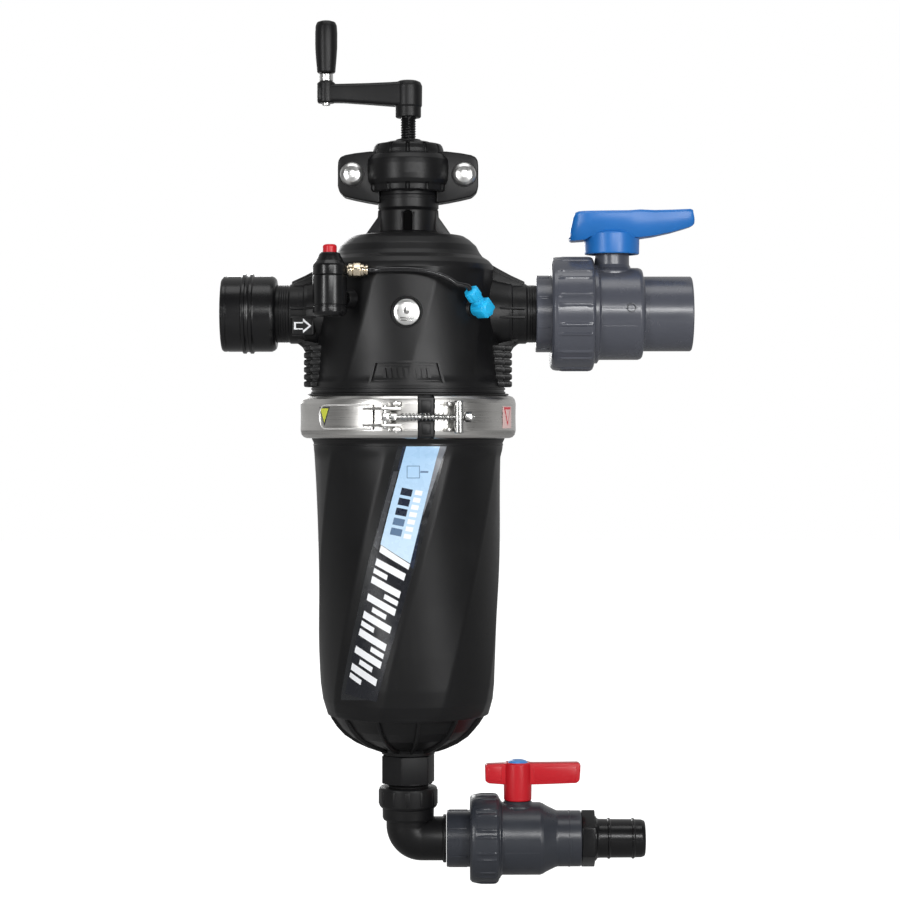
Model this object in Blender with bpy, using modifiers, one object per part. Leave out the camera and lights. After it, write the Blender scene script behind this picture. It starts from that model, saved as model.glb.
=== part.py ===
"""Pressurized pond filter: a crank-driven self-cleaning screen filter.

Lengths are millimetres in the vessel frame: Z up along the vessel axis, Z = 0 on the
centreline of the inlet (left, -X) and outlet (right, +X) ports, -Y to the front. All pieces
hang on one empty that puts the origin at the bottom centre of the bounding box.
"""
import math

import bmesh
import bpy
from mathutils import Matrix, Vector

MM = 0.001

# ---- driving dimensions ------------------------------------------------------------------
FRAME_AT = (-51.15, 5.455, 587.0)   # vessel frame's place in the scene
THREAD_R = 29.5                     # port threads
PORT_BORE_R = 22.0
NECK_R, NECK_BORE_R = 31.0, 24.5
FLANGE_R = 104.5                    # the two clamped flanges
BAND_R = 110.8                      # outside of the clamp band
BAND_TOP, BAND_BOT = -84.5, -127.7
CLAMP_TURN = 10.3                   # the clamp's gap, degrees from the front towards +X
SHAFT_R = 8.0
SHAFT_BORE_R = SHAFT_R + 0.4        # running clearance round the shaft
SCREEN_R = 62.0
OUTLET_X = 209.6                    # outlet valve's stem
DRAIN_X, DRAIN_Z = 112.7, -540.0    # drain valve's stem and centreline
CRANK_X = -84.5                     # crank grip's axis
FACETS = 0.62                       # share of the nominal facet count on turned shapes
HELPER_TURN = 0.13                  # radians; keeps helpers' facet edges off those of the pieces

# Rotations that lay a shape's own Z along a frame axis
UP = (0, 0, 0)
RIGHT = (0, math.pi / 2, 0)
FRONT = (math.pi / 2, 0, 0)
SIDES = (("right", 1), ("left", -1))

# ---- materials ---------------------------------------------------------------------------
BLACK = dict(colour=(0.012, 0.012, 0.013), roughness=0.35)
GREY = dict(colour=(0.11, 0.125, 0.14), roughness=0.4)
DARK_GREY = dict(colour=(0.06, 0.068, 0.078), roughness=0.42)
BLUE = dict(colour=(0.03, 0.19, 0.56), roughness=0.35)
RED = dict(colour=(0.5, 0.02, 0.025), roughness=0.35)
CYAN = dict(colour=(0.03, 0.53, 0.84), roughness=0.3)
STEEL = dict(colour=(0.62, 0.62, 0.6), roughness=0.22, metallic=1.0)
NICKEL = dict(colour=(0.55, 0.5, 0.42), roughness=0.25, metallic=1.0)
BRASS = dict(colour=(0.65, 0.45, 0.15), roughness=0.3, metallic=1.0)
RUBBER = dict(colour=(0.02, 0.02, 0.02), roughness=0.7)
WHITE = dict(colour=(0.75, 0.75, 0.72), roughness=0.4)


def material(name, colour, roughness, metallic=0.0):
    mat = bpy.data.materials.new(name)
    mat.use_nodes = True
    inputs = mat.node_tree.nodes["Principled BSDF"].inputs
    inputs["Base Color"].default_value = (*colour, 1)
    inputs["Roughness"].default_value = roughness
    inputs["Metallic"].default_value = metallic
    mat.diffuse_color = (*colour, 1)
    return mat


# ---- scene and frames --------------------------------------------------------------------
for old in list(bpy.data.objects):
    bpy.data.objects.remove(old, do_unlink=True)

PARTS = bpy.data.collections.new("pressurized_pond_filter")
CUTTERS = bpy.data.collections.new("cutters")
bpy.context.scene.collection.children.link(PARTS)
bpy.context.scene.collection.children.link(CUTTERS)


def empty(name, at=(0, 0, 0), turn_z=0.0, parent=None):
    frame = bpy.data.objects.new(name, None)
    frame.empty_display_size = 0.02
    PARTS.objects.link(frame)
    frame.location = [c * MM for c in at]
    frame.rotation_euler = (0, 0, math.radians(turn_z))
    frame.parent = parent
    return frame


FRAME = empty("vessel_frame", FRAME_AT)
CLAMP = empty("clamp_frame", turn_z=CLAMP_TURN, parent=FRAME)


# ---- shapes: given a look they are pieces, without one they are hidden boolean helpers -----
def finish(name, shape, look, parent=None, at=(0, 0, 0), axis=UP):
    """Turn a bmesh into an object and place it as a piece or a helper."""
    mesh = bpy.data.meshes.new(name)
    shape.to_mesh(mesh)
    shape.free()
    piece = bpy.data.objects.new(name, mesh)
    piece.location = [c * MM for c in at]
    piece.rotation_euler = axis
    piece.parent = parent or FRAME
    if look:
        PARTS.objects.link(piece)
        mesh.materials.append(material(name, **look))
    else:
        CUTTERS.objects.link(piece)
        piece.hide_render = True
        piece.display_type = "WIRE"
    return piece


def turned(name, profile, look=None, axis=UP, at=(0, 0, 0), steps=32, ring=False, parent=None):
    """Turn a profile of (radius, height) about an axis; ring=True closes the profile."""
    loop = list(profile)
    steps = min(steps, max(12, 4 * round(steps * FACETS / 4)))
    if sum(a[0] * b[1] - b[0] * a[1] for a, b in zip(loop, loop[1:] + loop[:1])) > 0:
        loop.reverse()
    turn = 0.0 if look else HELPER_TURN
    shape = bmesh.new()
    verts = [shape.verts.new((r * MM * math.cos(turn), r * MM * math.sin(turn), z * MM))
             for r, z in loop]
    for ends in zip(verts, verts[1:] + (verts[:1] if ring else [])):
        shape.edges.new(ends)
    piece = finish(name, shape, look, parent, at, axis)
    screw = piece.modifiers.new("turn", "SCREW")
    screw.axis = "Z"
    screw.angle = 2 * math.pi
    screw.steps = screw.render_steps = steps
    screw.use_merge_vertices = True
    screw.merge_threshold = 0.00001
    screw.use_smooth_shade = True
    return piece


def rod(name, radius, lo, hi, look=None, **where):
    return turned(name, [(0, hi), (radius, hi), (radius, lo), (0, lo)], look, **where)


def pipe(name, radius, bore, lo, hi, look=None, **where):
    profile = [(radius, hi), (radius, lo), (bore, lo), (bore, hi)]
    return turned(name, profile, look, ring=True, **where)


def box(name, lo, hi, look=None, parent=None, turn_z=0.0):
    size = [(b - a) * MM for a, b in zip(lo, hi)]
    middle = [(a + b) / 2 * MM for a, b in zip(lo, hi)]
    shape = bmesh.new()
    bmesh.ops.create_cube(shape, size=1)
    bmesh.ops.transform(shape, matrix=Matrix.Translation(middle) @ Matrix.Diagonal((*size, 1)),
                        verts=shape.verts)
    return finish(name, shape, look, parent, axis=(0, 0, math.radians(turn_z)))


def prism(name, outline, start, end, look=None, parent=None, flat=False):
    """An (x, z) outline between two y; flat=True makes it (x, y) between two heights."""
    shape = bmesh.new()
    if flat:
        verts = [shape.verts.new((x * MM, y * MM, start * MM)) for x, y in outline]
        move = (0, 0, (end - start) * MM)
    else:
        verts = [shape.verts.new((x * MM, start * MM, z * MM)) for x, z in outline]
        move = (0, (end - start) * MM, 0)
    grown = bmesh.ops.extrude_face_region(shape, geom=[shape.faces.new(verts)])["geom"]
    bmesh.ops.translate(shape, vec=move,
                        verts=[v for v in grown if isinstance(v, bmesh.types.BMVert)])
    bmesh.ops.recalc_face_normals(shape, faces=shape.faces)
    return finish(name, shape, look, parent)


def hexagon(name, flats, lo, hi, look=None, axis=UP, at=(0, 0, 0), turn=0.0):
    """A hexagonal prism between lo and hi along its axis; flats is the size across flats."""
    corner_r = flats / math.sqrt(3) * MM
    shape = bmesh.new()
    bmesh.ops.create_cone(shape, cap_ends=True, segments=6, radius1=corner_r,
                          radius2=corner_r, depth=(hi - lo) * MM)
    bmesh.ops.transform(shape, verts=shape.verts,
                        matrix=Matrix.Translation((0, 0, (lo + hi) / 2 * MM))
                        @ Matrix.Rotation(turn, 4, "Z"))
    return finish(name, shape, look, None, at, axis)


def ball(name, radius, look=None, at=(0, 0, 0), segments=20):
    shape = bmesh.new()
    bmesh.ops.create_uvsphere(shape, u_segments=segments, v_segments=segments // 2,
                              radius=radius * MM)
    for face in shape.faces:
        face.smooth = True
    return finish(name, shape, look, None, at)


def wire(name, points, radius, look, resolution):
    """A round solid along a path: a bevelled curve with its caps welded on."""
    curve = bpy.data.curves.new(name + "_path", "CURVE")
    curve.dimensions = "3D"
    curve.bevel_depth = radius * MM
    curve.bevel_resolution = resolution
    curve.use_fill_caps = True
    spline = curve.splines.new("POLY")
    spline.points.add(len(points) - 1)
    for point, place in zip(spline.points, points):
        point.co = (*(c * MM for c in place), 1)
    guide = bpy.data.objects.new(name + "_path", curve)
    bpy.context.scene.collection.objects.link(guide)
    evaluated = guide.evaluated_get(bpy.context.evaluated_depsgraph_get())
    swept = bpy.data.meshes.new_from_object(evaluated)
    shape = bmesh.new()
    shape.from_mesh(swept)
    bpy.data.objects.remove(guide, do_unlink=True)
    bpy.data.meshes.remove(swept)
    bmesh.ops.remove_doubles(shape, verts=shape.verts, dist=0.00001)
    bmesh.ops.recalc_face_normals(shape, faces=shape.faces)
    return finish(name, shape, look)


def aim(direction):
    return Vector(direction).to_track_quat("Z", "Y").to_euler()


def boolean(piece, verb, operation, helpers):
    for helper in helpers:
        mod = piece.modifiers.new(f"{verb}_{helper.name}", "BOOLEAN")
        mod.operation = operation
        mod.solver = "EXACT"
        mod.object = helper


def join(piece, *helpers):
    boolean(piece, "join", "UNION", helpers)


def cut(piece, *helpers):
    boolean(piece, "cut", "DIFFERENCE", helpers)


def keep(piece, helper):
    boolean(piece, "keep", "INTERSECT", [helper])


# ---- filter head -------------------------------------------------------------------------
BADGE_AT = (0, 0, -2)
SENSE_AT = (0, 0, 12)               # line from the vessel axis to the clogging indicator
SENSE_DIR = Vector((-74, -90, 0)).normalized()
FITTING_AT = (0, 0, 2.6)            # line from the vessel axis to the tube fitting
FITTING_DIR = Vector((74, -70, 0)).normalized()

HEAD = [
    (0, 144.6), (29.5, 144.6), (NECK_R, 143.5), (NECK_R, 137), (28.5, 136), (28.5, 129.5),
    (NECK_R, 128.5), (NECK_R, 84), (45, 81.5), (58, 79.4), (63, 75.5), (70, 69.5), (73.5, 62),
    (76, 58), (84, 53.6), (88, 48.5), (88.8, 44), (98.9, -74), (98.9, -82), (103.5, -82.4),
    (103.5, -84.1), (99, -84.3), (99, -88.2), (FLANGE_R, -92.2), (FLANGE_R, -105.7), (0, -105.7)]
HEAD_CAVITY = [
    (0, 150), (NECK_BORE_R, 150), (NECK_BORE_R, 38), (28, 38), (28, 76), (55, 74.5), (60, 71),
    (65, 66.5), (69, 60), (71.5, 54.5), (79, 49.5), (83, 45.5), (84, 42), (94, -74), (94, -110),
    (0, -110)]
PORT = [(0, 150), (THREAD_R, 150), (THREAD_R, 121), (30.6, 121), (30.6, 70), (0, 70)]
GUSSET = [(28, 104), (31.4, 103), (47, 82), (50, 70), (28, 70)]                 # (x, z)
PORT_RIB = [(80, 47), (89, 46), (120.5, 33), (120.5, 20), (80, 20)]             # (x, z)


def add_ports(head):
    """Ports to both sides, with the fins below them and the webs above."""
    for side, sign in SIDES:
        join(head, turned("port_" + side, [(r, sign * x) for r, x in PORT], axis=RIGHT, steps=28))
    for side, sign in SIDES:
        x_lo, x_hi = sorted((sign * 84, sign * 106.5))
        join(head, box("fins_" + side, (x_lo, -18, -76), (x_hi, 18, -32)))
    for name, outline, half_depth in (("gusset", GUSSET, 3), ("port_rib", PORT_RIB, 4)):
        for side, sign in SIDES:
            join(head, prism(f"{name}_{side}", [(sign * x, z) for x, z in outline],
                             -half_depth, half_depth))


def build_head():
    head = turned("head", HEAD, BLACK, steps=40)
    add_ports(head)
    join(head,
         rod("badge_boss", 15.3, 84, 94.2, axis=FRONT, at=BADGE_AT, steps=24),
         rod("indicator_boss", 8, 84, 99, axis=aim(SENSE_DIR), at=SENSE_AT, steps=16),
         rod("fitting_boss", 8.5, 84, 93.6, axis=aim(FITTING_DIR), at=FITTING_AT, steps=16))
    cut(head, turned("head_cavity", HEAD_CAVITY, steps=40))
    for side, sign in SIDES:
        cut(head, rod("bore_" + side, PORT_BORE_R, *sorted((sign * 60, sign * 160)),
                      axis=RIGHT, steps=24))
    cut(head,
        pipe("seal_groove", 101.5, 96.5, -108, -102, steps=40),
        rod("badge_recess", 13.4, 92.6, 100, axis=FRONT, at=BADGE_AT, steps=24),
        rod("indicator_hole", 5.0, 88, 110, axis=aim(SENSE_DIR), at=SENSE_AT, steps=12),
        rod("fitting_hole", 5.4, 87, 110, axis=aim(FITTING_DIR), at=FITTING_AT, steps=12))
    turned("head_badge", [(0, 94.9), (11.5, 94.9), (13, 94.3), (13, 92.95), (0, 92.95)], STEEL,
           axis=FRONT, at=BADGE_AT, steps=24)
    pipe("head_o_ring", 100.3, 97.6, -106.0, -102.4, RUBBER, steps=40)


# ---- bowl, and the sleeve and nipple at its bottom ---------------------------------------
BOWL = [
    (0, -106.3), (FLANGE_R, -106.3), (FLANGE_R, -119.8), (99, -123.8), (99, -128.6),
    (97.3, -131.8), (95.8, -191.6), (94, -253.4), (92.7, -294.6), (91.7, -346), (90.3, -383.2),
    (87.5, -401), (80, -414), (68, -430), (55, -440.5), (40, -447), (27.5, -449.5),
    (27.5, -453), (0, -453)]
BOWL_CAVITY = [
    (0, -100), (92.5, -100), (92.5, -130), (89, -253), (86, -383), (82, -398), (74, -411),
    (60, -427), (45, -435), (30, -439.5), (21, -439.5), (21, -460), (0, -460)]


def build_bowl():
    bowl = turned("bowl", BOWL, BLACK, steps=40)
    cut(bowl, turned("bowl_cavity", BOWL_CAVITY, steps=40))
    turned("drain_sleeve", [(17, -340), (17, -436), (20.5, -436), (23.5, -437), (23.5, -439.2),
                            (13, -439.2), (13, -340)], BLACK, steps=20, ring=True)
    nipple = hexagon("drain_nipple", 49, -483, -453.3, BLACK, turn=0.3)
    join(nipple, rod("nipple_threads", 20.1, -500, -440, steps=20))
    cut(nipple, rod("nipple_bore", 15, -505, -435, steps=16))


# ---- screen and water guide --------------------------------------------------------------
MANIFOLD = [(0, 35), (54, 35), (58, 31), (58, -77), (SCREEN_R, -78.5), (SCREEN_R, -83.6),
            (0, -83.6)]
WINDOW_ROWS = ((-336, -272), (-264, -200), (-192, -100))    # (bottom, top)


def build_manifold():
    manifold = turned("inlet_manifold", MANIFOLD, WHITE, steps=28)
    join(manifold, rod("manifold_spout", 21.4, -96, -40, axis=RIGHT, steps=20))
    cut(manifold,
        rod("manifold_inside", 54, -90, 31, steps=28),
        rod("manifold_seal_hole", 12.5, 25, 40, steps=20),
        rod("spout_bore", 18, -100, -50, axis=RIGHT, steps=20))


def build_screen():
    cage = pipe("screen_cage", SCREEN_R, 58.3, -350, -84, WHITE, steps=24)
    for i, (bottom, top) in enumerate(WINDOW_ROWS):
        for k in range(3):      # each box cuts two opposite windows
            cut(cage, box(f"cage_window_{i}_{k}", (-70, -20, bottom), (70, 20, top),
                          turn_z=60 * k))
    pipe("screen_mesh", 57.8, 57.0, -349.8, -84.2, STEEL, steps=24)
    pipe("screen_bottom_cap", SCREEN_R, 17.5, -358, -350.4, WHITE, steps=28)


# ---- suction scanner, shaft and bonnet ---------------------------------------------------
NOZZLES = [(i, z, 60 * i + 20) for i, z in enumerate((-310, -235, -160))]   # index, z, degrees
NOZZLE = [(0, 55), (8, 55), (8, 50), (5, 45), (5, -45), (8, -50), (8, -55), (0, -55)]
SHAFT = [(0, 231), (7, 231), (SHAFT_R, 230), (SHAFT_R, 74), (11.5, 74), (11.5, 70.6),
         (SHAFT_R, 70.6), (SHAFT_R, 40.4), (0, 40.4)]
BONNET = [
    (22, 177), (29.5, 172.5), (NECK_R, 170), (NECK_R, 161.5), (28.5, 160.5), (28.5, 154.5),
    (NECK_R, 153.5), (NECK_R, 145.2), (24.1, 145.2), (24.1, 131), (14.4, 131), (14.4, 165),
    (8.5, 165), (8.5, 177)]


def build_collector():
    """A central tube with two-ended slotted nozzles across it, open at the bottom."""
    collector = rod("collector", 12, -430, 60, WHITE, steps=16)
    for i, z, degrees in NOZZLES:
        angle = math.radians(degrees)
        join(collector, turned(f"nozzle_{i}", NOZZLE, axis=aim((math.cos(angle), math.sin(angle), 0)),
                               at=(0, 0, z), steps=12))
    for i, z, degrees in NOZZLES:
        cut(collector, box(f"nozzle_slot_{i}", (-60, -2.4, z - 2.7), (60, 2.4, z + 2.7),
                           turn_z=degrees))
    cut(collector,
        rod("collector_bore", 9, -440, -150, steps=12),
        rod("collector_socket", 8.3, 40, 70, steps=16))


def build_shaft():
    pipe("collector_guide_ring", 24.1, SHAFT_BORE_R, 60.4, 70.2, WHITE, steps=20)
    turned("drive_shaft", SHAFT, BLACK, steps=20)
    pipe("lead_nut", 14, SHAFT_BORE_R, 141, 164.6, BRASS, steps=20)
    pipe("shaft_seal", 14, SHAFT_BORE_R, 132, 140.5, RUBBER, steps=20)
    turned("bonnet", BONNET, BLACK, steps=28, ring=True)


# ---- crank -------------------------------------------------------------------------------
CRANK_AT = (CRANK_X, 0, 0)
SET_SCREW_AT = (0, 0, 208)
ARM = [(CRANK_X, 219), (-8, 213.5), (-8, 236.9), (CRANK_X, 234.8)]      # (x, z)
ARM_HUB = [(0, 240.3), (9, 239.6), (13, 237), (14, 233.5), (14, 214), (13, 213.4), (13, 202),
           (0, 202)]
ARM_BOSS = [(0, 238.5), (8.4, 238.5), (9.2, 237.6), (9.2, 218), (8.3, 217), (0, 217)]
SPINDLE = [(0, 289), (3.6, 289), (4, 288), (4, 247.8), (7, 247.6), (7, 238.9), (4, 238.9),
           (4, 214.5), (0, 214.5)]
GRIP = [(0, 302), (8, 301.4), (11, 299), (12, 294), (12, 271), (10.5, 262), (8.2, 249),
        (8, 248), (0, 248)]


def build_crank():
    arm = prism("crank_arm", ARM, -8, 8, BLACK)
    for vert in arm.data.vertices:
        if vert.co.x > -20 * MM:    # the arm widens towards its hub
            vert.co.y *= 1.22
    join(arm,
         turned("arm_hub", ARM_HUB, steps=24),
         turned("arm_boss", ARM_BOSS, at=CRANK_AT, steps=20))
    cut(arm,
        rod("arm_shaft_hole", 8.3, 190, 231.6, steps=20),
        rod("arm_spindle_hole", 4.3, 200, 250, at=CRANK_AT, steps=16),
        rod("set_screw_hole", 3.3, 8, 20, axis=FRONT, at=SET_SCREW_AT, steps=12))
    rod("hub_set_screw", 2.9, 8.5, 12.9, STEEL, axis=FRONT, at=SET_SCREW_AT, steps=12)
    turned("grip_spindle", SPINDLE, STEEL, at=CRANK_AT, steps=16)
    grip = turned("crank_grip", GRIP, BLACK, at=CRANK_AT, steps=24)
    cut(grip, rod("grip_bore", 4.4, 240, 290, at=CRANK_AT, steps=16))


# ---- grooved coupling on the neck --------------------------------------------------------
COUPLING_BOLT_X, COUPLING_BOLT_Z = 57.5, 142.5
COUPLING = [(0, 171), (40, 171), (42, 165), (42, 127), (40, 124), (0, 124)]
COUPLING_INSIDE = [
    (0, 178), (34, 178), (34, 162), (29.5, 160), (29.5, 155), (32, 154.4), (32, 152),
    (36, 151.6), (36, 138.4), (32, 138), (32, 136.4), (29.5, 135.5), (29.5, 130), (34, 128),
    (34, 118), (0, 118)]
COUPLING_EAR = [                                                        # (x, z)
    (30, 164), (40, 164.4), (54, 163), (67, 160.5), (72, 156), (72, 126), (67, 119.6),
    (54, 116), (36, 114), (30, 124)]
COUPLING_BOLT = [(0, 20.5), (6, 19.6), (10, 17.4), (12, 14.4), (4.6, 14.4), (4.6, -26), (0, -26)]


def build_coupling_half(end, y_lo, y_hi):
    half = turned("coupling_half_" + end, COUPLING, BLACK, steps=28)
    for side, sign in SIDES:
        join(half, prism(f"ears_{side}_{end}", [(sign * x, z) for x, z in COUPLING_EAR], -14, 14))
    cut(half, turned("coupling_inside_" + end, COUPLING_INSIDE, steps=28))
    for side, sign in SIDES:
        cut(half, rod(f"ear_hole_{side}_{end}", 5.2, -30, 30, axis=FRONT,
                      at=(sign * COUPLING_BOLT_X, 0, COUPLING_BOLT_Z), steps=12))
    keep(half, box("half_space_" + end, (-90, y_lo, 100), (90, y_hi, 190)))


def build_coupling():
    build_coupling_half("front", -60, -0.3)
    build_coupling_half("rear", 0.3, 60)
    pipe("coupling_gasket", 35.1, 31.9, 138.8, 151.2, RUBBER, steps=28)
    for side, sign in SIDES:
        where = dict(axis=FRONT, at=(sign * COUPLING_BOLT_X, 0, COUPLING_BOLT_Z))
        turned("coupling_bolt_" + side, COUPLING_BOLT, STEEL, steps=20, **where)
        nut = hexagon("coupling_nut_" + side, 15, -23, -14.4, STEEL, **where)
        cut(nut, rod("nut_bore_" + side, 5.0, -30, -10, steps=16, **where))


# ---- clogging indicator and its tube -----------------------------------------------------
INDICATOR_AT = (-74, -90, 0)
CAP_PORT_AT = (0, -90, 37)          # line of the port in the indicator's cap
INDICATOR = [(0, 31.8), (17, 31.8), (17, 3), (16, 2.2), (16, 1.2), (17, 0.4), (17, -6),
             (14.5, -8.6), (0, -8.6)]
INDICATOR_CAP = [(0, 54.7), (10, 54.7), (13.5, 46), (17, 42), (17, 32.2), (0, 32.2)]
FITTING_STEPS = [(0, -36), (5.2, -36), (5.2, -43.5), (4.8, -49.5), (4.8, -56.4), (2.9, -56.4),
                 (2.9, -62), (0, -62)]
TUBE_FITTING = [(0, 113.5), (7, 113.5), (9.6, 110), (9.6, 97), (9.6, 94.0), (4.9, 94.0),
                (4.9, 89), (0, 89)]
TUBE_PATH = [                                                           # (x, y, z)
    (-35.0, -90, 37), (-31, -90.2, 37.1), (-24, -92.5, 38.2), (-8, -95, 38.6),
    (8, -96.5, 38.3), (22, -97, 36.8), (34, -96.5, 33.8), (43, -95, 30), (50.5, -92, 25.6)]


def build_indicator():
    body = turned("indicator_body", INDICATOR, BLACK, at=INDICATOR_AT, steps=24)
    join(body, rod("indicator_stub", 4.5, 92, 112, axis=aim(SENSE_DIR), at=SENSE_AT, steps=12))
    cap = turned("indicator_cap", INDICATOR_CAP, BLACK, at=INDICATOR_AT, steps=24)
    cut(cap,
        rod("button_hole", 7.5, 37, 60, at=INDICATOR_AT, steps=16),
        rod("cap_port", 3.3, -66, -50, axis=RIGHT, at=CAP_PORT_AT, steps=8))
    turned("indicator_button", [(0, 63), (5.5, 63), (7, 61.5), (7, 44), (0, 44)], RED,
           at=INDICATOR_AT, steps=16)
    fitting = hexagon("indicator_fitting", 13.5, -50, -43, NICKEL, axis=RIGHT, at=CAP_PORT_AT)
    join(fitting, turned("fitting_steps", FITTING_STEPS, axis=RIGHT, at=CAP_PORT_AT, steps=12))


def build_sensing_tube():
    """The angled fitting on the head, and the tube from it to the indicator."""
    sideways = Vector((-FITTING_DIR.y, FITTING_DIR.x, 0))
    arm_dir = sideways * -0.727 + Vector((0, 0, 0.686))     # up to the left and forwards
    centre = FITTING_DIR * 104.5 + Vector(FITTING_AT)
    body = turned("tube_fitting", TUBE_FITTING, CYAN, axis=aim(FITTING_DIR), at=FITTING_AT,
                  steps=16)
    join(body, rod("fitting_arm", 6.0, 0, 13, axis=aim(arm_dir), at=centre, steps=16))
    rod("tube_fitting_nut", 7.2, 13.4, 26, CYAN, axis=aim(arm_dir), at=centre, steps=16)
    arm_end = centre + arm_dir * 26.8
    before_end = arm_end + arm_dir * 3.5 + Vector((-0.6, 0, 0.4))
    wire("sensing_tube", TUBE_PATH + [before_end, arm_end], 2.8, BLACK, resolution=1)


# ---- inlet adapter -----------------------------------------------------------------------
INLET_ADAPTER = [
    (31.5, -191.3), (37.5, -191.3), (39, -189.6), (39, -170), (41, -169.5), (41, -166.5),
    (39, -166), (39, -162.5), (41, -162), (41, -159), (39, -158.5), (39, -140), (36, -136.2),
    (31.5, -134.8), (30.1, -134.8), (30.1, -151), (24, -151), (24, -153.5), (31.5, -153.5)]


def build_inlet_adapter():
    turned("inlet_adapter", INLET_ADAPTER, BLACK, axis=RIGHT, steps=32, ring=True)


# ---- outlet union ball valve -------------------------------------------------------------
OUTLET_AT = (OUTLET_X, 0, 0)
OUTLET_CONNECTOR = [
    (39.5, 131), (39.5, 151), (47, 153), (47, 160), (33, 160), (33, 180.6), (25, 180.6),
    (25, 151), (30.1, 151), (30.1, 131)]
OUTLET_NUT = [(57, 145), (59.5, 148), (59.5, 188.5), (57, 191.2), (52, 191.2), (52, 152.4),
              (40.1, 150), (40.1, 145)]
OUTLET_BODY = [
    (0, 160.5), (51, 160.5), (51, 194.4), (47.2, 196), (47.2, 235.5), (44.5, 240.5),
    (38.5, 242), (38.5, 291.2), (0, 291.2)]
OUTLET_INSIDE = [(0, 150), (34, 150), (34, 242.8), (25, 242.8), (25, 250), (31.5, 250),
                 (31.5, 300), (0, 300)]
OUTLET_HANDLE = [                                                       # (x, z)
    (165, 101), (168, 103.8), (291, 107.3), (293.6, 104.5), (292.5, 94), (288, 91.5),
    (262, 88), (243, 83), (236, 79.5), (183, 79.5), (178, 77), (172, 73.6), (168.5, 76)]


def build_outlet_body():
    turned("outlet_end_connector", OUTLET_CONNECTOR, GREY, axis=RIGHT, steps=28, ring=True)
    turned("outlet_union_nut", OUTLET_NUT, GREY, axis=RIGHT, steps=32, ring=True)
    body = turned("outlet_valve_body", OUTLET_BODY, GREY, axis=RIGHT, steps=28)
    join(body, rod("stem_neck", 17.8, 30, 62.7, at=OUTLET_AT, steps=20))
    cut(body,
        turned("valve_inside", OUTLET_INSIDE, axis=RIGHT, steps=28),
        rod("stem_hole", 9.4, 20, 70, at=OUTLET_AT, steps=16))


def build_outlet_works():
    valve_ball = ball("outlet_ball", 32, WHITE, at=OUTLET_AT, segments=24)
    cut(valve_ball,
        rod("ball_bore", 25, 170, 250, axis=RIGHT, steps=20),
        box("ball_slot", (OUTLET_X - 12, -4, 27.6), (OUTLET_X + 12, 4, 40)))
    stem = rod("outlet_stem", 9, 33, 76, GREY, at=OUTLET_AT, steps=16)
    join(stem, box("stem_tang", (OUTLET_X - 8, -3.2, 28.2), (OUTLET_X + 8, 3.2, 34)))
    handle = prism("outlet_handle", OUTLET_HANDLE, -12, 12, BLUE)
    join(handle, turned("handle_skirt", [(0, 90), (25, 90), (28, 82), (28, 61), (0, 61)],
                        at=OUTLET_AT, steps=24))
    cut(handle,
        rod("skirt_hollow", 24.5, 55, 66, at=OUTLET_AT, steps=24),
        rod("handle_stem_hole", 9.4, 60, 76.5, at=OUTLET_AT, steps=16))


# ---- drain elbow -------------------------------------------------------------------------
DRAIN_AT = (0, 0, DRAIN_Z)          # drain line, along X
BEND_R, TUBE_R = 14, 22.5           # a moulded elbow: its bend is tighter than its tube
BEND_LIMIT = 128.48                 # degrees round the tube to where it meets the bend's axis
BEND_HALF_H = 17.6                  # half the corner's height on that axis
BEND_STEPS = 14
BEND_LAP = 0.6                      # overlap of the corner with the straight legs
ELBOW = [(0, -486), (29, -486), (30, -487), (30, -506), (26.5, -508), (26.5, -519),
         (TUBE_R, -520.5), (TUBE_R, -527), (0, -527)]


def elbow_corner():
    """A quarter of a solid torus whose tube overlaps itself at the bend's axis."""
    angles = [math.radians(BEND_LIMIT - 2 * BEND_LIMIT * k / BEND_STEPS)
              for k in range(1, BEND_STEPS)]
    arc = [(max(0, BEND_R + TUBE_R * math.cos(a)), TUBE_R * math.sin(a)) for a in angles]
    corner = turned("elbow_corner", [(0, BEND_HALF_H)] + arc + [(0, -BEND_HALF_H)], axis=FRONT,
                    at=(BEND_R, 0, DRAIN_Z + BEND_R), steps=36)
    keep(corner, box("elbow_quadrant", (-30, -30, -580),
                     (BEND_R + BEND_LAP, 30, DRAIN_Z + BEND_R + BEND_LAP)))
    return corner


def build_elbow():
    elbow = turned("drain_elbow", ELBOW, BLACK, steps=36)
    join(elbow, elbow_corner(),
         rod("elbow_leg", TUBE_R, BEND_R - BEND_LAP, 62, axis=RIGHT, at=DRAIN_AT, steps=36))
    cut(elbow,
        rod("elbow_bore_down", 17.5, -538, -480, steps=24),
        rod("elbow_bore_across", 17.5, 0.5, 70, axis=RIGHT, at=DRAIN_AT, steps=24),
        ball("elbow_bore_corner", 17.4, at=(1.5, 0, -538.5)),
        rod("elbow_socket", 21, -501, -480, steps=20))


# ---- drain union ball valve and hose tail ------------------------------------------------
DRAIN_STEM_AT = (DRAIN_X, 0, 0)
ALONG_DRAIN = dict(axis=RIGHT, at=DRAIN_AT)
DRAIN_CONNECTOR = [
    (29, 39.6), (29, 66.4), (37.5, 67.5), (37.5, 72), (26.4, 72), (26.4, 91), (18, 91),
    (18, 63), (23.1, 63), (23.1, 39.6)]
DRAIN_NUT = [(45, 63), (47, 65), (47, 92), (45, 94), (42, 94), (42, 66.6), (29.8, 64.5),
             (29.8, 63)]
DRAIN_BODY = [
    (0, 72.5), (40.6, 72.5), (40.6, 94.6), (37, 96), (37, 136), (34.5, 140.5), (29, 152),
    (28.5, 153.5), (28.5, 177.7), (0, 177.7)]
DRAIN_INSIDE = [(0, 60), (27, 60), (27, 139), (18, 139), (18, 152), (20.2, 152), (20.2, 190),
                (0, 190)]
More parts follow.
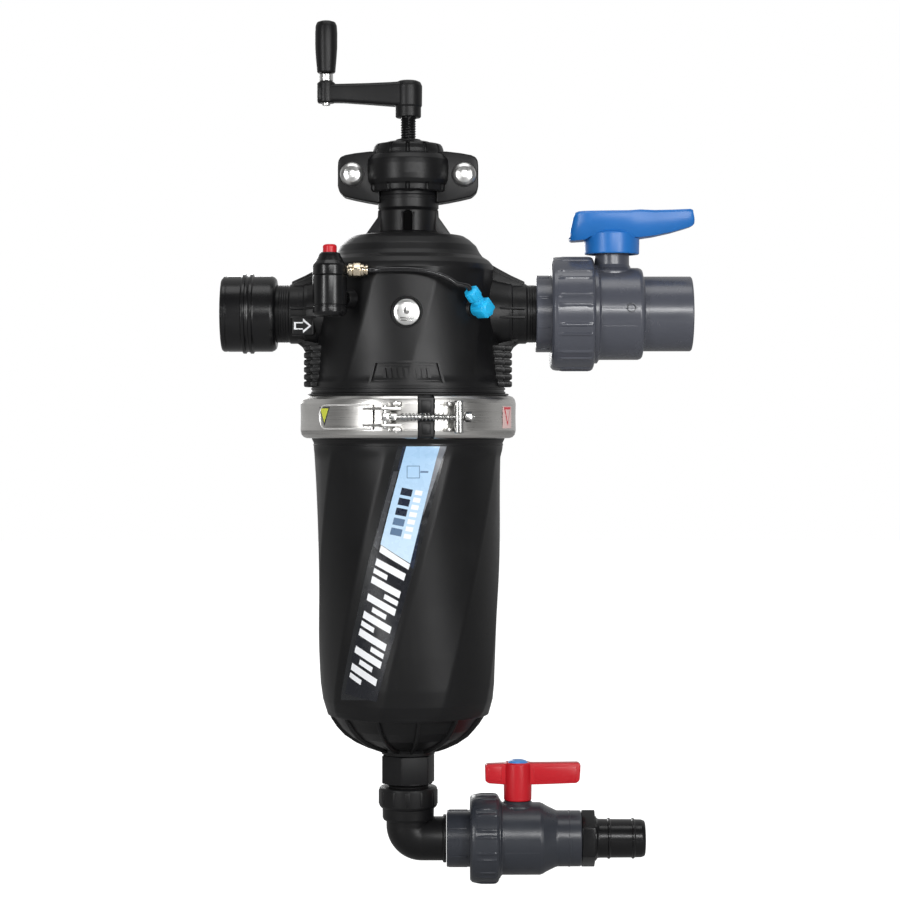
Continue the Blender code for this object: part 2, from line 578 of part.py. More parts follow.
DRAIN_HANDLE = [                                                        # (x, z)
    (78.5, -463.2), (176, -461.5), (177.6, -463), (176.6, -479.5), (174, -482.5), (124, -484),
    (100, -484), (81.5, -482.5), (79, -480)]
TEE_HUB = [(0, -461.2), (13.5, -461.2), (14.2, -462), (14.2, -500.6), (0, -500.6)]
BARBS = ((20.5, 235.5), (20.5, 225), (20.5, 214.5), (20.3, 204))    # (crest radius, x)
BARB_ROOT_R = 18.6


def build_drain_body():
    turned("drain_end_connector", DRAIN_CONNECTOR, DARK_GREY, steps=24, ring=True, **ALONG_DRAIN)
    turned("drain_union_nut", DRAIN_NUT, DARK_GREY, steps=28, ring=True, **ALONG_DRAIN)
    body = turned("drain_valve_body", DRAIN_BODY, DARK_GREY, steps=28, **ALONG_DRAIN)
    join(body, rod("drain_neck", 14.2, -520, -501, at=DRAIN_STEM_AT, steps=20))
    cut(body,
        turned("drain_inside", DRAIN_INSIDE, steps=24, **ALONG_DRAIN),
        rod("drain_stem_hole", 6.9, -530, -495, at=DRAIN_STEM_AT, steps=16))


def build_drain_works():
    valve_ball = ball("drain_ball", 25, WHITE, at=(DRAIN_X, 0, DRAIN_Z))
    cut(valve_ball,
        rod("drain_ball_bore", 18, 80, 145, steps=16, **ALONG_DRAIN),
        box("drain_ball_slot", (DRAIN_X - 9, -3.2, -519.4), (DRAIN_X + 9, 3.2, -510)))
    stem = rod("drain_stem", 6.5, -514.4, -474, DARK_GREY, at=DRAIN_STEM_AT, steps=16)
    join(stem, box("drain_tang", (DRAIN_X - 6, -2.6, -518.8), (DRAIN_X + 6, 2.6, -513)))
    handle = prism("drain_handle", DRAIN_HANDLE, -6.5, 6.5, RED)
    join(handle, turned("tee_hub", TEE_HUB, at=DRAIN_STEM_AT, steps=20))
    cut(handle,
        rod("tee_stem_hole", 6.9, -510, -473.5, at=DRAIN_STEM_AT, steps=16),
        rod("tee_cap_recess", 10.7, -464, -455, at=DRAIN_STEM_AT, steps=20))
    turned("drain_handle_cap", [(0, -458.6), (6, -459.2), (10.3, -461.2), (10.3, -463.6),
                                (0, -463.6)], BLUE, at=DRAIN_STEM_AT, steps=20)


def build_hose_tail():
    barbs = [(0, 243.6), (17.5, 243.6), (18.7, 240)]
    for crest_r, x in BARBS:
        barbs += [(crest_r, x - 1.5), (BARB_ROOT_R, x - 2)]
    barbs += [(BARB_ROOT_R, 190), (0, 190)]
    tail = hexagon("drain_hose_tail", 51, 178, 192, BLACK, **ALONG_DRAIN)
    join(tail,
         turned("tail_barbs", barbs, steps=20, **ALONG_DRAIN),
         rod("tail_thread", 19.8, 158, 180, steps=20, **ALONG_DRAIN))
    cut(tail, rod("tail_bore", 14.5, 150, 250, steps=16, **ALONG_DRAIN))


# ---- V-band clamp: in its own frame, with its gap at the front ---------------------------
HINGE_AT = (0, 116.0, 0)            # hinge pin at the rear
DRAW_Y, DRAW_Z = -119.5, -106.1     # draw bolt's line, along X
PIVOT_AT = (-31.5, DRAW_Y, 0)       # lever's pivot, on the left band's lugs
TOGGLE_AT = (-42.5, DRAW_Y, 0)      # draw bolt's left end, in the lever
TRUNNION_AT = (31.0, DRAW_Y, 0)     # draw bolt's right end
ALONG_DRAW = dict(axis=RIGHT, at=(0, DRAW_Y, DRAW_Z), parent=CLAMP)
BAND = [
    (103.5, BAND_TOP), (106.5, BAND_TOP - 0.6), (109.6, -88), (BAND_R, -92.5),
    (BAND_R, -119.7), (109.6, -124.2), (106.5, BAND_BOT + 0.6), (103.5, BAND_BOT),
    (100.6, BAND_BOT), (100.6, -125), (106.2, -121), (106.2, -91.2), (100.6, -87.2),
    (100.6, BAND_TOP)]
# The right band's knuckle web; the left band's is its mirror image
KNUCKLE_WEB = [(3.3, HINGE_AT[1] - 3), (14, 107.3), (14, 109.4), (3.3, HINGE_AT[1] + 3)]
# (top, bottom) heights: the left band's knuckle sits between the right band's two
KNUCKLES = {"left": [(-100.5, -112)], "right": [(-92, -100), (-112.5, -120.5)]}
KNUCKLE_GAPS = {"left": [(-91.6, -100.4), (-112.1, -120.9)], "right": [(-100.1, -112.4)]}
# (x, y): the left lugs carry the lever, the right ones hook the trunnion from its left
LUGS = {
    "left": [(-37, -98), (-37, -124.5), (-26, -124.5), (-26, -103)],
    "right": [(18, -104), (18, -125.5), (21.4, -125.5), (24.8, -119.5), (25.6, -113.6),
              (36, -112.6), (38, -98)]}
LUG_HEIGHTS = ((-91.5, -95.2), (-117, -120.7))                          # (top, bottom)
LEVER_TAB = [(-27.2, -123.8), (-27.2, -116.5), (-42, -113.5), (-53, -101.3), (-60, -96.5),
             (-62.5, -98), (-50, -117), (-46.5, -123.8)]
# (tab top, tab bottom, stub bottom, stub top); each stub starts inside its tab
LEVER_TABS = ((-96.6, -99.2, -98.2, -90.2), (-113, -115.6, -122.0, -114))


def sector(name, start, end, radius, bottom, top):
    """A pie slice between two azimuths, in degrees from the front towards +X."""
    azimuths = [math.radians(start + (end - start) * k / 6) for k in range(7)]
    rim = [(radius * math.sin(a), -radius * math.cos(a)) for a in azimuths]
    return prism(name, [(0, 0)] + rim, bottom, top, parent=CLAMP, flat=True)


def build_band(side, sign):
    band = turned("clamp_band_" + side, BAND, STEEL, steps=48, ring=True, parent=CLAMP)
    start, end = sorted((sign * 4.4, sign * 179.55))
    keep(band, sector("band_keep_" + side, start, end, 260, -135.3, -80.2))
    web = [(sign * x, y) for x, y in KNUCKLE_WEB][::sign]
    for i, (top, bottom) in enumerate(KNUCKLES[side]):
        join(band,
             rod(f"knuckle_{side}_{i}", 5.2, bottom, top, at=HINGE_AT, steps=12, parent=CLAMP),
             prism(f"knuckle_web_{side}_{i}", web, bottom + 0.5, top - 0.5, flat=True,
                   parent=CLAMP))
    # A slight turn keeps the hole's facet edges off the knuckles'
    cut(band, rod("hinge_hole_" + side, 2.7, -125, -88, axis=(0, 0, 0.23), at=HINGE_AT,
                  steps=12, parent=CLAMP))
    for i, (top, bottom) in enumerate(KNUCKLE_GAPS[side]):
        cut(band, rod(f"knuckle_gap_{side}_{i}", 6.2, bottom, top, at=HINGE_AT, steps=16,
                      parent=CLAMP))
    for i, (top, bottom) in enumerate(LUG_HEIGHTS):
        join(band, prism(f"lug_{side}_{i}", LUGS[side], bottom, top, flat=True, parent=CLAMP))
    if side == "left":
        cut(band, rod("lug_pin_hole", 2.6, -125, -86, at=PIVOT_AT, steps=12, parent=CLAMP))


def build_lever():
    lever = pipe("clamp_lever", 115.2, 112.6, -118.7, -93.5, STEEL, steps=48, parent=CLAMP)
    keep(lever, sector("lever_keep", -60.5, -27.5, 200, -135, -80))
    for i, (top, bottom, stub_bottom, stub_top) in enumerate(LEVER_TABS):
        join(lever,
             prism(f"lever_tab_{i}", LEVER_TAB, bottom, top, flat=True, parent=CLAMP),
             rod(f"lever_stub_{i}", 2.2, stub_bottom, stub_top, at=PIVOT_AT, steps=12,
                 parent=CLAMP))
    cut(lever, rod("lever_toggle_hole", 2.6, -125, -86, at=TOGGLE_AT, steps=12, parent=CLAMP))


def build_draw_bolt():
    bolt = rod("clamp_tbolt", 2.4, -40, 46.5, STEEL, steps=12, **ALONG_DRAW)
    join(bolt,
         rod("tbolt_head", 2.2, -117.8, -94.4, at=TOGGLE_AT, steps=12, parent=CLAMP),
         box("tbolt_head_block", (-45.7, -122.3, -110.1), (-38.7, -116.7, -102.1), parent=CLAMP))
    trunnion = rod("clamp_trunnion", 5.0, -122.4, -89.8, STEEL, at=TRUNNION_AT, steps=14,
                   parent=CLAMP)
    cut(trunnion, rod("trunnion_hole", 2.8, 20, 42, steps=12, **ALONG_DRAW))
    turned("clamp_nut", [(4.6, 36.6), (4.6, 44), (2.8, 44), (2.8, 36.6)], STEEL, steps=6,
           ring=True, **ALONG_DRAW)
    pipe("clamp_spring", 4.0, 2.9, -26.8, 25.4, STEEL, steps=12, **ALONG_DRAW)


def build_clamp():
    for side, sign in SIDES:
        build_band(side, sign)
    rod("clamp_hinge_pin", 2.3, -122.5, -90, STEEL, at=HINGE_AT, steps=12, parent=CLAMP)
    build_lever()
    build_draw_bolt()


for build in (build_head, build_bowl, build_manifold, build_screen, build_collector,
              build_shaft, build_crank, build_coupling, build_indicator, build_sensing_tube,
              build_inlet_adapter, build_outlet_body, build_outlet_works, build_elbow,
              build_drain_body, build_drain_works, build_hose_tail, build_clamp):
    build()
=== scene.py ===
"""The looks of a pressurised pond filter: a fluted vessel (head and bowl) held by a band clamp, with
a crank on top, an inlet at the left, a ball valve at the right and a drain valve below.

Lengths are millimetres in the vessel frame: Z up the vessel axis, Z = 0 on the port centreline, -Y to
the front, +X to the right. piece() turns them into metres in the part's frame. A shape is a pair
(verts, faces). A profile is a list of (radius, height) with an optional corner radius."""
import math

import bmesh
import bpy
import numpy as np
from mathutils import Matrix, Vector


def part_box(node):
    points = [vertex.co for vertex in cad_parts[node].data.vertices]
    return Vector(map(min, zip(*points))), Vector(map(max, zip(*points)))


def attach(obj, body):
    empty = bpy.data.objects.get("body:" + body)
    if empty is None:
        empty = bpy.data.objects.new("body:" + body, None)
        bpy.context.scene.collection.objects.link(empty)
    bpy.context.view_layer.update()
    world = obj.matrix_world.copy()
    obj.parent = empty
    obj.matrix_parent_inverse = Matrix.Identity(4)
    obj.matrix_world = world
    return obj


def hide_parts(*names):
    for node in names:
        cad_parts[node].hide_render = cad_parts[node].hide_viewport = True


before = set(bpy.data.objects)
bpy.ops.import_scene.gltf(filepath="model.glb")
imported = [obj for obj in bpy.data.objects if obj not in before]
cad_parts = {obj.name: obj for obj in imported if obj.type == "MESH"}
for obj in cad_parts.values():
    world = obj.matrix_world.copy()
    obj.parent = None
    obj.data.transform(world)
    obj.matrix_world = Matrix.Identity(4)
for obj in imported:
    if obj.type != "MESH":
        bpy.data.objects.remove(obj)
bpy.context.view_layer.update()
bowl_low, bowl_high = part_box("bowl")
ORIGIN = np.array([(bowl_low.x + bowl_high.x) / 2, (bowl_low.y + bowl_high.y) / 2,
                   bowl_low.z + 0.453])    # the vessel frame's zero, metres
TAU = 2 * math.pi

CLAMP_TURN = math.radians(10.3)            # the clamp's front, turned towards +X
BADGE_Z = -2
INDICATOR_AXIS, INDICATOR_AXIS_Z = (-74, -90, 0), 12
FITTING_AXIS, FITTING_Z = (74, -70, 0), 2.6
GRIP_X = -84.5
BOLT_X, BOLT_Z = 57.5, 142.5               # coupling bolts
OUTLET_STEM_X, DRAIN_STEM_X, DRAIN_Z = 209.6, 112.7, -540.0
DRAIN_AT = (0, 0, DRAIN_Z)

# ------------------------------------------------------------------ shapes


def clip01(value):
    return np.clip(value, 0, 1)


def fillet(profile, radius=0.8, segments=3, closed=False):
    """Rounds the corners of a profile; a point may carry its own radius as a third value."""
    points = [np.array(p[:2], float) for p in profile]
    radii = [p[2] if len(p) > 2 else radius for p in profile]
    count, out = len(points), []
    for i in range(count):
        corner = points[i]
        if radii[i] <= 0 or (not closed and i in (0, count - 1)):
            out.append(corner)
            continue
        before, after = points[i - 1] - corner, points[(i + 1) % count] - corner
        len_before, len_after = np.linalg.norm(before), np.linalg.norm(after)
        if len_before < 1e-6 or len_after < 1e-6:
            out.append(corner)
            continue
        before, after = before / len_before, after / len_after
        cosine = float(np.clip(before @ after, -1, 1))
        if cosine < -0.995:
            out.append(corner)
            continue
        reach = min(radii[i] / max(math.tan(math.acos(cosine) / 2), 0.05),
                    0.45 * len_before, 0.45 * len_after)
        start, end = corner + before * reach, corner + after * reach
        for k in range(segments + 1):
            t = k / segments
            out.append((1 - t) ** 2 * start + 2 * t * (1 - t) * corner + t * t * end)
    return out


def resample(points, step, closed):
    out = []
    for i in range(len(points) if closed else len(points) - 1):
        a, b = points[i], points[(i + 1) % len(points)]
        count = max(1, int(math.ceil(np.linalg.norm(b - a) / step)))
        out += [a + (b - a) * j / count for j in range(count)]
    if not closed:
        out.append(points[-1])
    return out


def outline(profile, radius, segments, closed, step):
    """Fillets and resamples a profile, and winds it so that the turned faces look outwards."""
    points = fillet(profile, radius, segments, closed)
    if step:
        points = resample(points, step, closed)
    area = sum(a[0] * b[1] - b[0] * a[1] for a, b in zip(points, points[1:] + points[:1]))
    return points[::-1] if area > 0 else points


def turned_row(angles, r, z):
    """Points round Z at one height. Angle 0 is the front, growing towards +X."""
    return list(zip(r * np.sin(angles), -r * np.cos(angles), np.full(len(angles), z)))


def lathe(profile, n, radius=0.8, segments=3, step=None, reshape=None, closed=False, twist=0.0):
    """Turns a profile about Z. reshape(angles, r, z) changes the radius; twist is degrees per mm."""
    verts, faces, rows = [], [], []
    for r, z in outline(profile, radius, segments, closed, step):
        if r < 1e-6:
            rows.append([len(verts)])
            verts.append((0, 0, z))
            continue
        angles = np.arange(n) * TAU / n + math.radians(twist) * z
        rows.append(list(range(len(verts), len(verts) + n)))
        verts += turned_row(angles, reshape(angles, r, z) if reshape else r, z)
    for a, b in list(zip(rows, rows[1:])) + ([(rows[-1], rows[0])] if closed else []):
        if len(a) == 1 and len(b) == 1:
            continue
        for k in range(n):
            k2 = (k + 1) % n
            if len(a) == 1:
                faces.append((a[0], b[k], b[k2]))
            elif len(b) == 1:
                faces.append((a[k], b[0], a[k2]))
            else:
                faces.append((a[k], b[k], b[k2], a[k2]))
    return np.array(verts, float), faces


def ring(profile, n, radius=0.8, **options):
    """Turns a closed profile about Z."""
    return lathe(profile, n, radius, closed=True, **options)


def rod(r, start, end, n, radius=0.8):
    return lathe([(0, start), (r, start), (r, end), (0, end)], n, radius)


def bead(inner, outer, z, half):
    edge = half - 0.3
    return ring([(inner, z + half), (outer, z + edge, .4), (outer, z - edge, .4),
                 (inner, z - half)], 180, 0.3)


def arc(profile, start, end, n, radius=0.6, segments=3, step=None, reshape=None):
    """A closed profile turned between two azimuths in degrees, with end faces."""
    points = outline(profile, radius, segments, True, step)
    angles = np.radians(np.linspace(start, end, n + 1))
    verts, faces = [], []
    for r, z in points:
        verts += turned_row(angles, reshape(angles, r, z) if reshape else r, z)
    width, count = n + 1, len(points)
    for i in range(count):
        a, b = i * width, (i + 1) % count * width
        faces += [(a + k, b + k, b + k + 1, a + k + 1) for k in range(n)]
    faces.append(tuple(i * width for i in range(count)))
    faces.append(tuple(i * width + n for i in range(count - 1, -1, -1)))
    return np.array(verts, float), faces


def screw(r, bore, low, high, pitch, depth, n=60):
    """A threaded sleeve: the crest winds up the axis as a true helix."""
    verts, faces = [], []
    angles = np.arange(n) * TAU / n
    for z in np.arange(low, high + 1e-6, pitch / 6):
        crest = np.abs(2 * np.mod(z / pitch - angles / TAU, 1.0) - 1)
        fade = max(0.0, min(1.0, (z - low) / pitch, (high - z) / pitch))
        verts += turned_row(angles, r - depth * (1 - crest) * fade - depth * (1 - fade), z)
    for z in (high, low):
        verts += turned_row(angles, bore, z)
    rows = len(verts) // n
    for i in range(rows):
        a, b = i * n, (i + 1) % rows * n
        for k in range(n):
            k2 = (k + 1) % n
            faces.append((a + k, a + k2, b + k2, b + k))
    return np.array(verts, float), faces


def finish(bm, bevel=0, segments=2, min_angle=22):
    """Bevels the edges sharper than min_angle degrees and hands the shape over."""
    bmesh.ops.recalc_face_normals(bm, faces=bm.faces)
    if bevel:
        edges = [e for e in bm.edges if e.calc_face_angle(0) > math.radians(min_angle)]
        bmesh.ops.bevel(bm, geom=edges, offset=bevel, segments=segments, profile=0.5,
                        affect="EDGES", clamp_overlap=True)
    bm.normal_update()
    bm.verts.index_update()
    verts = np.array([v.co[:] for v in bm.verts], float)
    faces = [tuple(v.index for v in f.verts) for f in bm.faces]
    bm.free()
    return verts, faces


def prism(points, start, end, bevel=0.8, segments=2, axis="Y"):
    """An outline in XZ pushed along Y, or one in XY pushed along Z."""
    bm = bmesh.new()
    if axis == "Y":
        base = [bm.verts.new((x, start, z)) for x, z in points]
        move = (0, end - start, 0)
    else:
        base = [bm.verts.new((x, y, start)) for x, y in points]
        move = (0, 0, end - start)
    pushed = bmesh.ops.extrude_face_region(bm, geom=[bm.faces.new(base)])["geom"]
    bmesh.ops.translate(bm, vec=move, verts=[v for v in pushed if isinstance(v, bmesh.types.BMVert)])
    return finish(bm, bevel, segments)


def loft(sections, bevel, min_angle):
    """A solid through sections with equal point counts."""
    bm = bmesh.new()
    rings = [[bm.verts.new(p) for p in section] for section in sections]
    count = len(rings[0])
    for a, b in zip(rings, rings[1:]):
        for k in range(count):
            bm.faces.new((a[k], a[(k + 1) % count], b[(k + 1) % count], b[k]))
    bm.faces.new(rings[0])
    bm.faces.new(rings[-1][::-1])
    return finish(bm, bevel, 3, min_angle)


def box(low, high, bevel=0.8, segments=2):
    corners = [(low[0], low[2]), (high[0], low[2]), (high[0], high[2]), (low[0], high[2])]
    return prism(corners, low[1], high[1], bevel, segments)


def hexagon(flats, start, end, bevel=0.8, turn=0.0):
    r = flats / math.sqrt(3)
    corners = [(r * math.cos(TAU * k / 6 + turn), r * math.sin(TAU * k / 6 + turn))
               for k in range(6)]
    return prism(corners, start, end, bevel, 2, "Z")


def sweep(path, r, n):
    """A round, capped tube along a path of points."""
    points = [np.array(p, float) for p in path]
    last = len(points) - 1
    tangents = [points[min(i + 1, last)] - points[max(i - 1, 0)] for i in range(last + 1)]
    tangents = [t / np.linalg.norm(t) for t in tangents]
    up = np.array([0, 0, 1.0]) if abs(tangents[0][2]) < 0.9 else np.array([0, 1.0, 0])
    side = np.cross(tangents[0], up)
    side /= np.linalg.norm(side)
    verts, faces = [], []
    for point, tangent in zip(points, tangents):
        side = side - tangent * (side @ tangent)
        side /= np.linalg.norm(side)
        across = np.cross(tangent, side)
        for k in range(n):
            a = TAU * k / n
            verts.append(point + r * (math.cos(a) * side + math.sin(a) * across))
    for i in range(last):
        for k in range(n):
            k2 = (k + 1) % n
            faces.append((i * n + k, i * n + k2, (i + 1) * n + k2, (i + 1) * n + k))
    faces.append(tuple(range(n - 1, -1, -1)))
    faces.append(tuple(last * n + k for k in range(n)))
    return np.array(verts), faces


def smooth_path(points, steps):
    """A Catmull-Rom curve through the points."""
    points = [np.array(p, float) for p in points]
    points = [2 * points[0] - points[1]] + points + [2 * points[-1] - points[-2]]
    out = []
    for i in range(1, len(points) - 2):
        a, b, c, d = points[i - 1:i + 3]
        for j in range(steps):
            t = j / steps
            out.append(0.5 * (2 * b + (c - a) * t + (2 * a - 5 * b + 4 * c - d) * t * t
                              + (3 * b - a - 3 * c + d) * t ** 3))
    out.append(points[-2])
    return out


def plate_faces(across, down):
    """Faces of a closed plate: an outer grid of points followed by an inner one."""
    faces = []
    width, inner = across + 1, (across + 1) * (down + 1)
    for j in range(down):
        for i in range(across):
            a = j * width + i
            b = inner + a
            faces += [(a, a + width, a + width + 1, a + 1), (b, b + 1, b + width + 1, b + width)]
    for j in range(down):
        a, b = j * width, j * width + across
        faces += [(a, inner + a, inner + a + width, a + width),
                  (b, b + width, inner + b + width, inner + b)]
    for i in range(across):
        a, b = i, down * width + i
        faces += [(a, a + 1, inner + a + 1, inner + a), (b, inner + b, inner + b + 1, b + 1)]
    return faces


def curved_plate(radius_at, left, right, heights, inner, outer, across):
    """A thin plate between azimuths left(z) and right(z); heights run from top to bottom."""
    verts = []
    for offset in (outer, inner):
        for z in heights:
            angles = np.linspace(left(z), right(z), across + 1)
            verts += turned_row(angles, radius_at(z) + offset, z)
    return np.array(verts), plate_faces(across, len(heights) - 1)


def place(shape, axis="Z", at=(0, 0, 0), turn=0.0):
    """Lays a shape's Z along X, F (the front, -Y) or a vector, turns it about Z and moves it."""
    verts, faces = shape
    x, y, z = verts.T
    if axis == "X":
        verts = np.stack([z, y, -x], 1)
    elif axis == "F":
        verts = np.stack([x, -z, y], 1)
    elif axis != "Z":
        verts = verts @ np.array(Vector(axis).to_track_quat("Z", "Y").to_matrix()).T
    if turn:
        c, s = math.cos(turn), math.sin(turn)
        x, y, z = verts.T
        verts = np.stack([x * c - y * s, x * s + y * c, z], 1)
    return verts + np.array(at, float), faces


def around(shape, count, phase=0.0, axis="Z", at=(0, 0, 0)):
    """Copies of a shape spaced evenly about Z, then laid along an axis."""
    return [place(place(shape, turn=TAU * (k + phase) / count), axis, at) for k in range(count)]


def on_side(side, shape):
    """Mirrors a shape built at the right (+X) when side is -1."""
    verts, faces = shape
    return shape if side > 0 else (verts * np.array([-1, 1, 1]), [f[::-1] for f in faces])


# ------------------------------------------------------------------ objects


def new_object(name, shapes, turn=0.0):
    verts, faces, total = [], [], 0
    for part_verts, part_faces in shapes:
        verts.append(part_verts)
        faces += [tuple(i + total for i in f) for f in part_faces]
        total += len(part_verts)
    verts, faces = place((np.concatenate(verts), faces), turn=turn)
    mesh = bpy.data.meshes.new(name)
    mesh.from_pydata([tuple(v) for v in verts * 0.001 + ORIGIN], [], faces)
    ob = bpy.data.objects.new(name, mesh)
    bpy.context.scene.collection.objects.link(ob)
    return ob


def shade(mesh, angle=32):
    mesh.shade_smooth()
    mesh.set_sharp_from_angle(angle=math.radians(angle))


def piece(name, shapes, material, body="root", part=None, slot=None, angle=32, turn=0.0, spare=()):
    """An object that rides on a body and may replace a CAD part; spare materials get no faces."""
    ob = new_object(name, shapes, turn)
    mesh = ob.data
    # Written out so that the mesh carries its material_index attribute.
    mesh.polygons.foreach_set("material_index", [0] * len(mesh.polygons))
    mesh.update()
    shade(mesh, angle)
    for m in (material, *spare):
        mesh.materials.append(m)
    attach(ob, body)
    if part:
        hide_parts(part)
    return ob


def stand_in(part, shapes, material, body="root", name=None, **options):
    """A piece that takes the place of a CAD part."""
    return piece(name or part + "_body", shapes, material, body, part, SLOT_OF[material], **options)


def carve(ob, cutter, turn=0.0):
    """Cuts a closed shape out of an object and applies the result."""
    tool = new_object("tool", [cutter], turn)
    for m in ob.data.materials:
        tool.data.materials.append(m)
    cut = ob.modifiers.new("carve", "BOOLEAN")
    cut.operation, cut.solver, cut.object = "DIFFERENCE", "EXACT", tool
    bpy.context.view_layer.update()
    evaluated = ob.evaluated_get(bpy.context.evaluated_depsgraph_get())
    mesh = bpy.data.meshes.new_from_object(evaluated)
    ob.modifiers.clear()
    mesh.name = ob.data.name + "_cut"
    ob.data = mesh
    bpy.data.objects.remove(tool, do_unlink=True)
    shade(mesh)


# ------------------------------------------------------------------ materials


class Shader:
    """A material's node tree, with short ways to add the nodes used here."""

    def __init__(self, name):
        self.material = bpy.data.materials.new(name)
        self.material.use_nodes = True
        self.tree = self.material.node_tree
        self.surface = self.tree.nodes["Principled BSDF"].inputs
        self.coords = self.node("TexCoord").outputs["Object"]

    def node(self, kind):
        return self.tree.nodes.new("ShaderNode" + kind)

    def feed(self, value, socket):
        """Links an output to a socket, or sets a plain value."""
        if hasattr(value, "links"):
            self.tree.links.new(value, socket)
        else:
            socket.default_value = value

    def noise(self, scale, detail=3.0, rough=0.5, stretch=None):
        noise = self.node("TexNoise")
        noise.inputs["Scale"].default_value = scale
        noise.inputs["Detail"].default_value = detail
        noise.inputs["Roughness"].default_value = rough
        vector = self.coords
        if stretch:
            mapping = self.node("Mapping")
            mapping.inputs["Scale"].default_value = stretch
            self.feed(vector, mapping.inputs["Vector"])
            vector = mapping.outputs["Vector"]
        self.feed(vector, noise.inputs["Vector"])
        return noise.outputs["Fac"]

    def remap(self, value, from_min, from_max, to_min=0.0, to_max=1.0):
        node = self.node("MapRange")
        node.inputs["From Min"].default_value = from_min
        node.inputs["From Max"].default_value = from_max
        node.inputs["To Min"].default_value = to_min
        node.inputs["To Max"].default_value = to_max
        self.feed(value, node.inputs["Value"])
        return node.outputs["Result"]

    def math(self, operation, a, b):
        node = self.node("Math")
        node.operation = operation
        self.feed(a, node.inputs[0])
        self.feed(b, node.inputs[1])
        return node.outputs[0]

    def mix(self, factor, a, b):
        node = self.node("Mix")
        node.data_type = "RGBA"
        self.feed(factor, node.inputs[0])
        for color, socket in ((a, node.inputs[6]), (b, node.inputs[7])):
            self.feed(color if hasattr(color, "links") else (*color, 1), socket)
        return node.outputs[2]

    def bump(self, height, strength, distance, normal=None):
        node = self.node("Bump")
        node.inputs["Strength"].default_value = strength
        node.inputs["Distance"].default_value = distance
        self.feed(height, node.inputs["Height"])
        if normal:
            self.feed(normal, node.inputs["Normal"])
        return node.outputs["Normal"]

    def edge(self):
        """1 on edges, from the difference between the rounded and the true normal."""
        bevel = self.node("Bevel")
        bevel.samples = 4
        bevel.inputs["Radius"].default_value = 0.0012
        geometry = self.node("NewGeometry")
        dot = self.node("VectorMath")
        dot.operation = "DOT_PRODUCT"
        self.feed(bevel.outputs["Normal"], dot.inputs[0])
        self.feed(geometry.outputs["Normal"], dot.inputs[1])
        return self.remap(dot.outputs["Value"], from_min=0.995, from_max=0.9)


def tinted(color, gain, lift=0.0):
    return tuple(min(1, c * gain + lift) for c in color)


def plastic(name, color, roughness, grain, wear, scuff, specular=0.5):
    """Moulded plastic: fine spark grain, slow cloudiness, faint scuffs and paler worn edges."""
    s = Shader(name)
    cloud = s.noise(scale=14, detail=4, rough=0.6)
    fine = s.noise(scale=1400, detail=2, rough=0.6)
    streaks = s.noise(scale=60, detail=5, rough=0.7, stretch=(1.0, 1.0, 0.16))
    scuffs = s.remap(streaks, from_min=0.56, from_max=0.72)
    base = s.mix(cloud, tinted(color, 0.88), tinted(color, 1.12, 0.0015))
    base = s.mix(s.math("MULTIPLY", scuffs, 0.10 * scuff), base, tinted(color, 1.6, 0.02))
    if wear:
        base = s.mix(s.math("MULTIPLY", s.edge(), wear), base, tinted(color, 1.8, 0.03))
    s.feed(base, s.surface["Base Color"])
    rough = s.remap(cloud, 0.3, 0.7, to_min=roughness - 0.04, to_max=roughness + 0.05)
    rough = s.math("ADD", rough, s.math("MULTIPLY", scuffs, 0.08 * scuff))
    s.feed(rough, s.surface["Roughness"])
    s.surface["Specular IOR Level"].default_value = specular
    grained = s.bump(fine, strength=grain, distance=0.0002)
    waved = s.bump(s.noise(scale=90, detail=2), strength=0.06, distance=0.0006, normal=grained)
    s.feed(waved, s.surface["Normal"])
    return s.material


def metal(name, color, roughness, brush, brush_scale, variation, scratch, brush_bump=0.03):
    """Metal with brushing stretched along one direction, smudges and small scratches."""
    s = Shader(name)
    brushed = s.noise(scale=brush_scale, detail=6, rough=0.75, stretch=brush)
    smudge = s.noise(scale=22, detail=4, rough=0.65)
    fine = s.noise(scale=700, detail=2, rough=0.6)
    base = s.mix(s.remap(brushed, 0.3, 0.7), tinted(color, 0.86), tinted(color, 1.06))
    smudged = s.math("MULTIPLY", s.remap(smudge, 0.55, 0.75), 0.25)
    s.feed(s.mix(smudged, base, tinted(color, 0.72)), s.surface["Base Color"])
    s.surface["Metallic"].default_value = 1.0
    rough = s.remap(brushed, 0.25, 0.75,
                    to_min=roughness - variation * 0.35, to_max=roughness + variation * 0.5)
    rough = s.math("ADD", rough, s.math("MULTIPLY", s.remap(smudge, 0.5, 0.75), 0.08))
    s.feed(rough, s.surface["Roughness"])
    grooved = s.bump(brushed, strength=brush_bump, distance=0.0004)
    scratched = s.bump(fine, strength=0.03 * scratch, distance=0.0002, normal=grooved)
    s.feed(scratched, s.surface["Normal"])
    return s.material


def woven_mesh():
    s = Shader("woven_mesh")
    waves = []
    for direction in ("Z", "DIAGONAL"):
        wave = s.node("TexWave")
        wave.inputs["Scale"].default_value = 260
        wave.bands_direction = direction
        s.feed(s.coords, wave.inputs["Vector"])
        waves.append(wave.outputs["Fac"])
    height = s.math("MAXIMUM", *waves)
    s.feed(s.mix(height, (0.05, 0.05, 0.05), (0.62, 0.61, 0.58)), s.surface["Base Color"])
    s.surface["Metallic"].default_value = 0.9
    s.surface["Roughness"].default_value = 0.35
    s.feed(s.bump(height, strength=0.6, distance=0.0004), s.surface["Normal"])
    return s.material


FADE_TOP, FADE_BOTTOM = -140, -245         # heights between which a two-colour ink shades


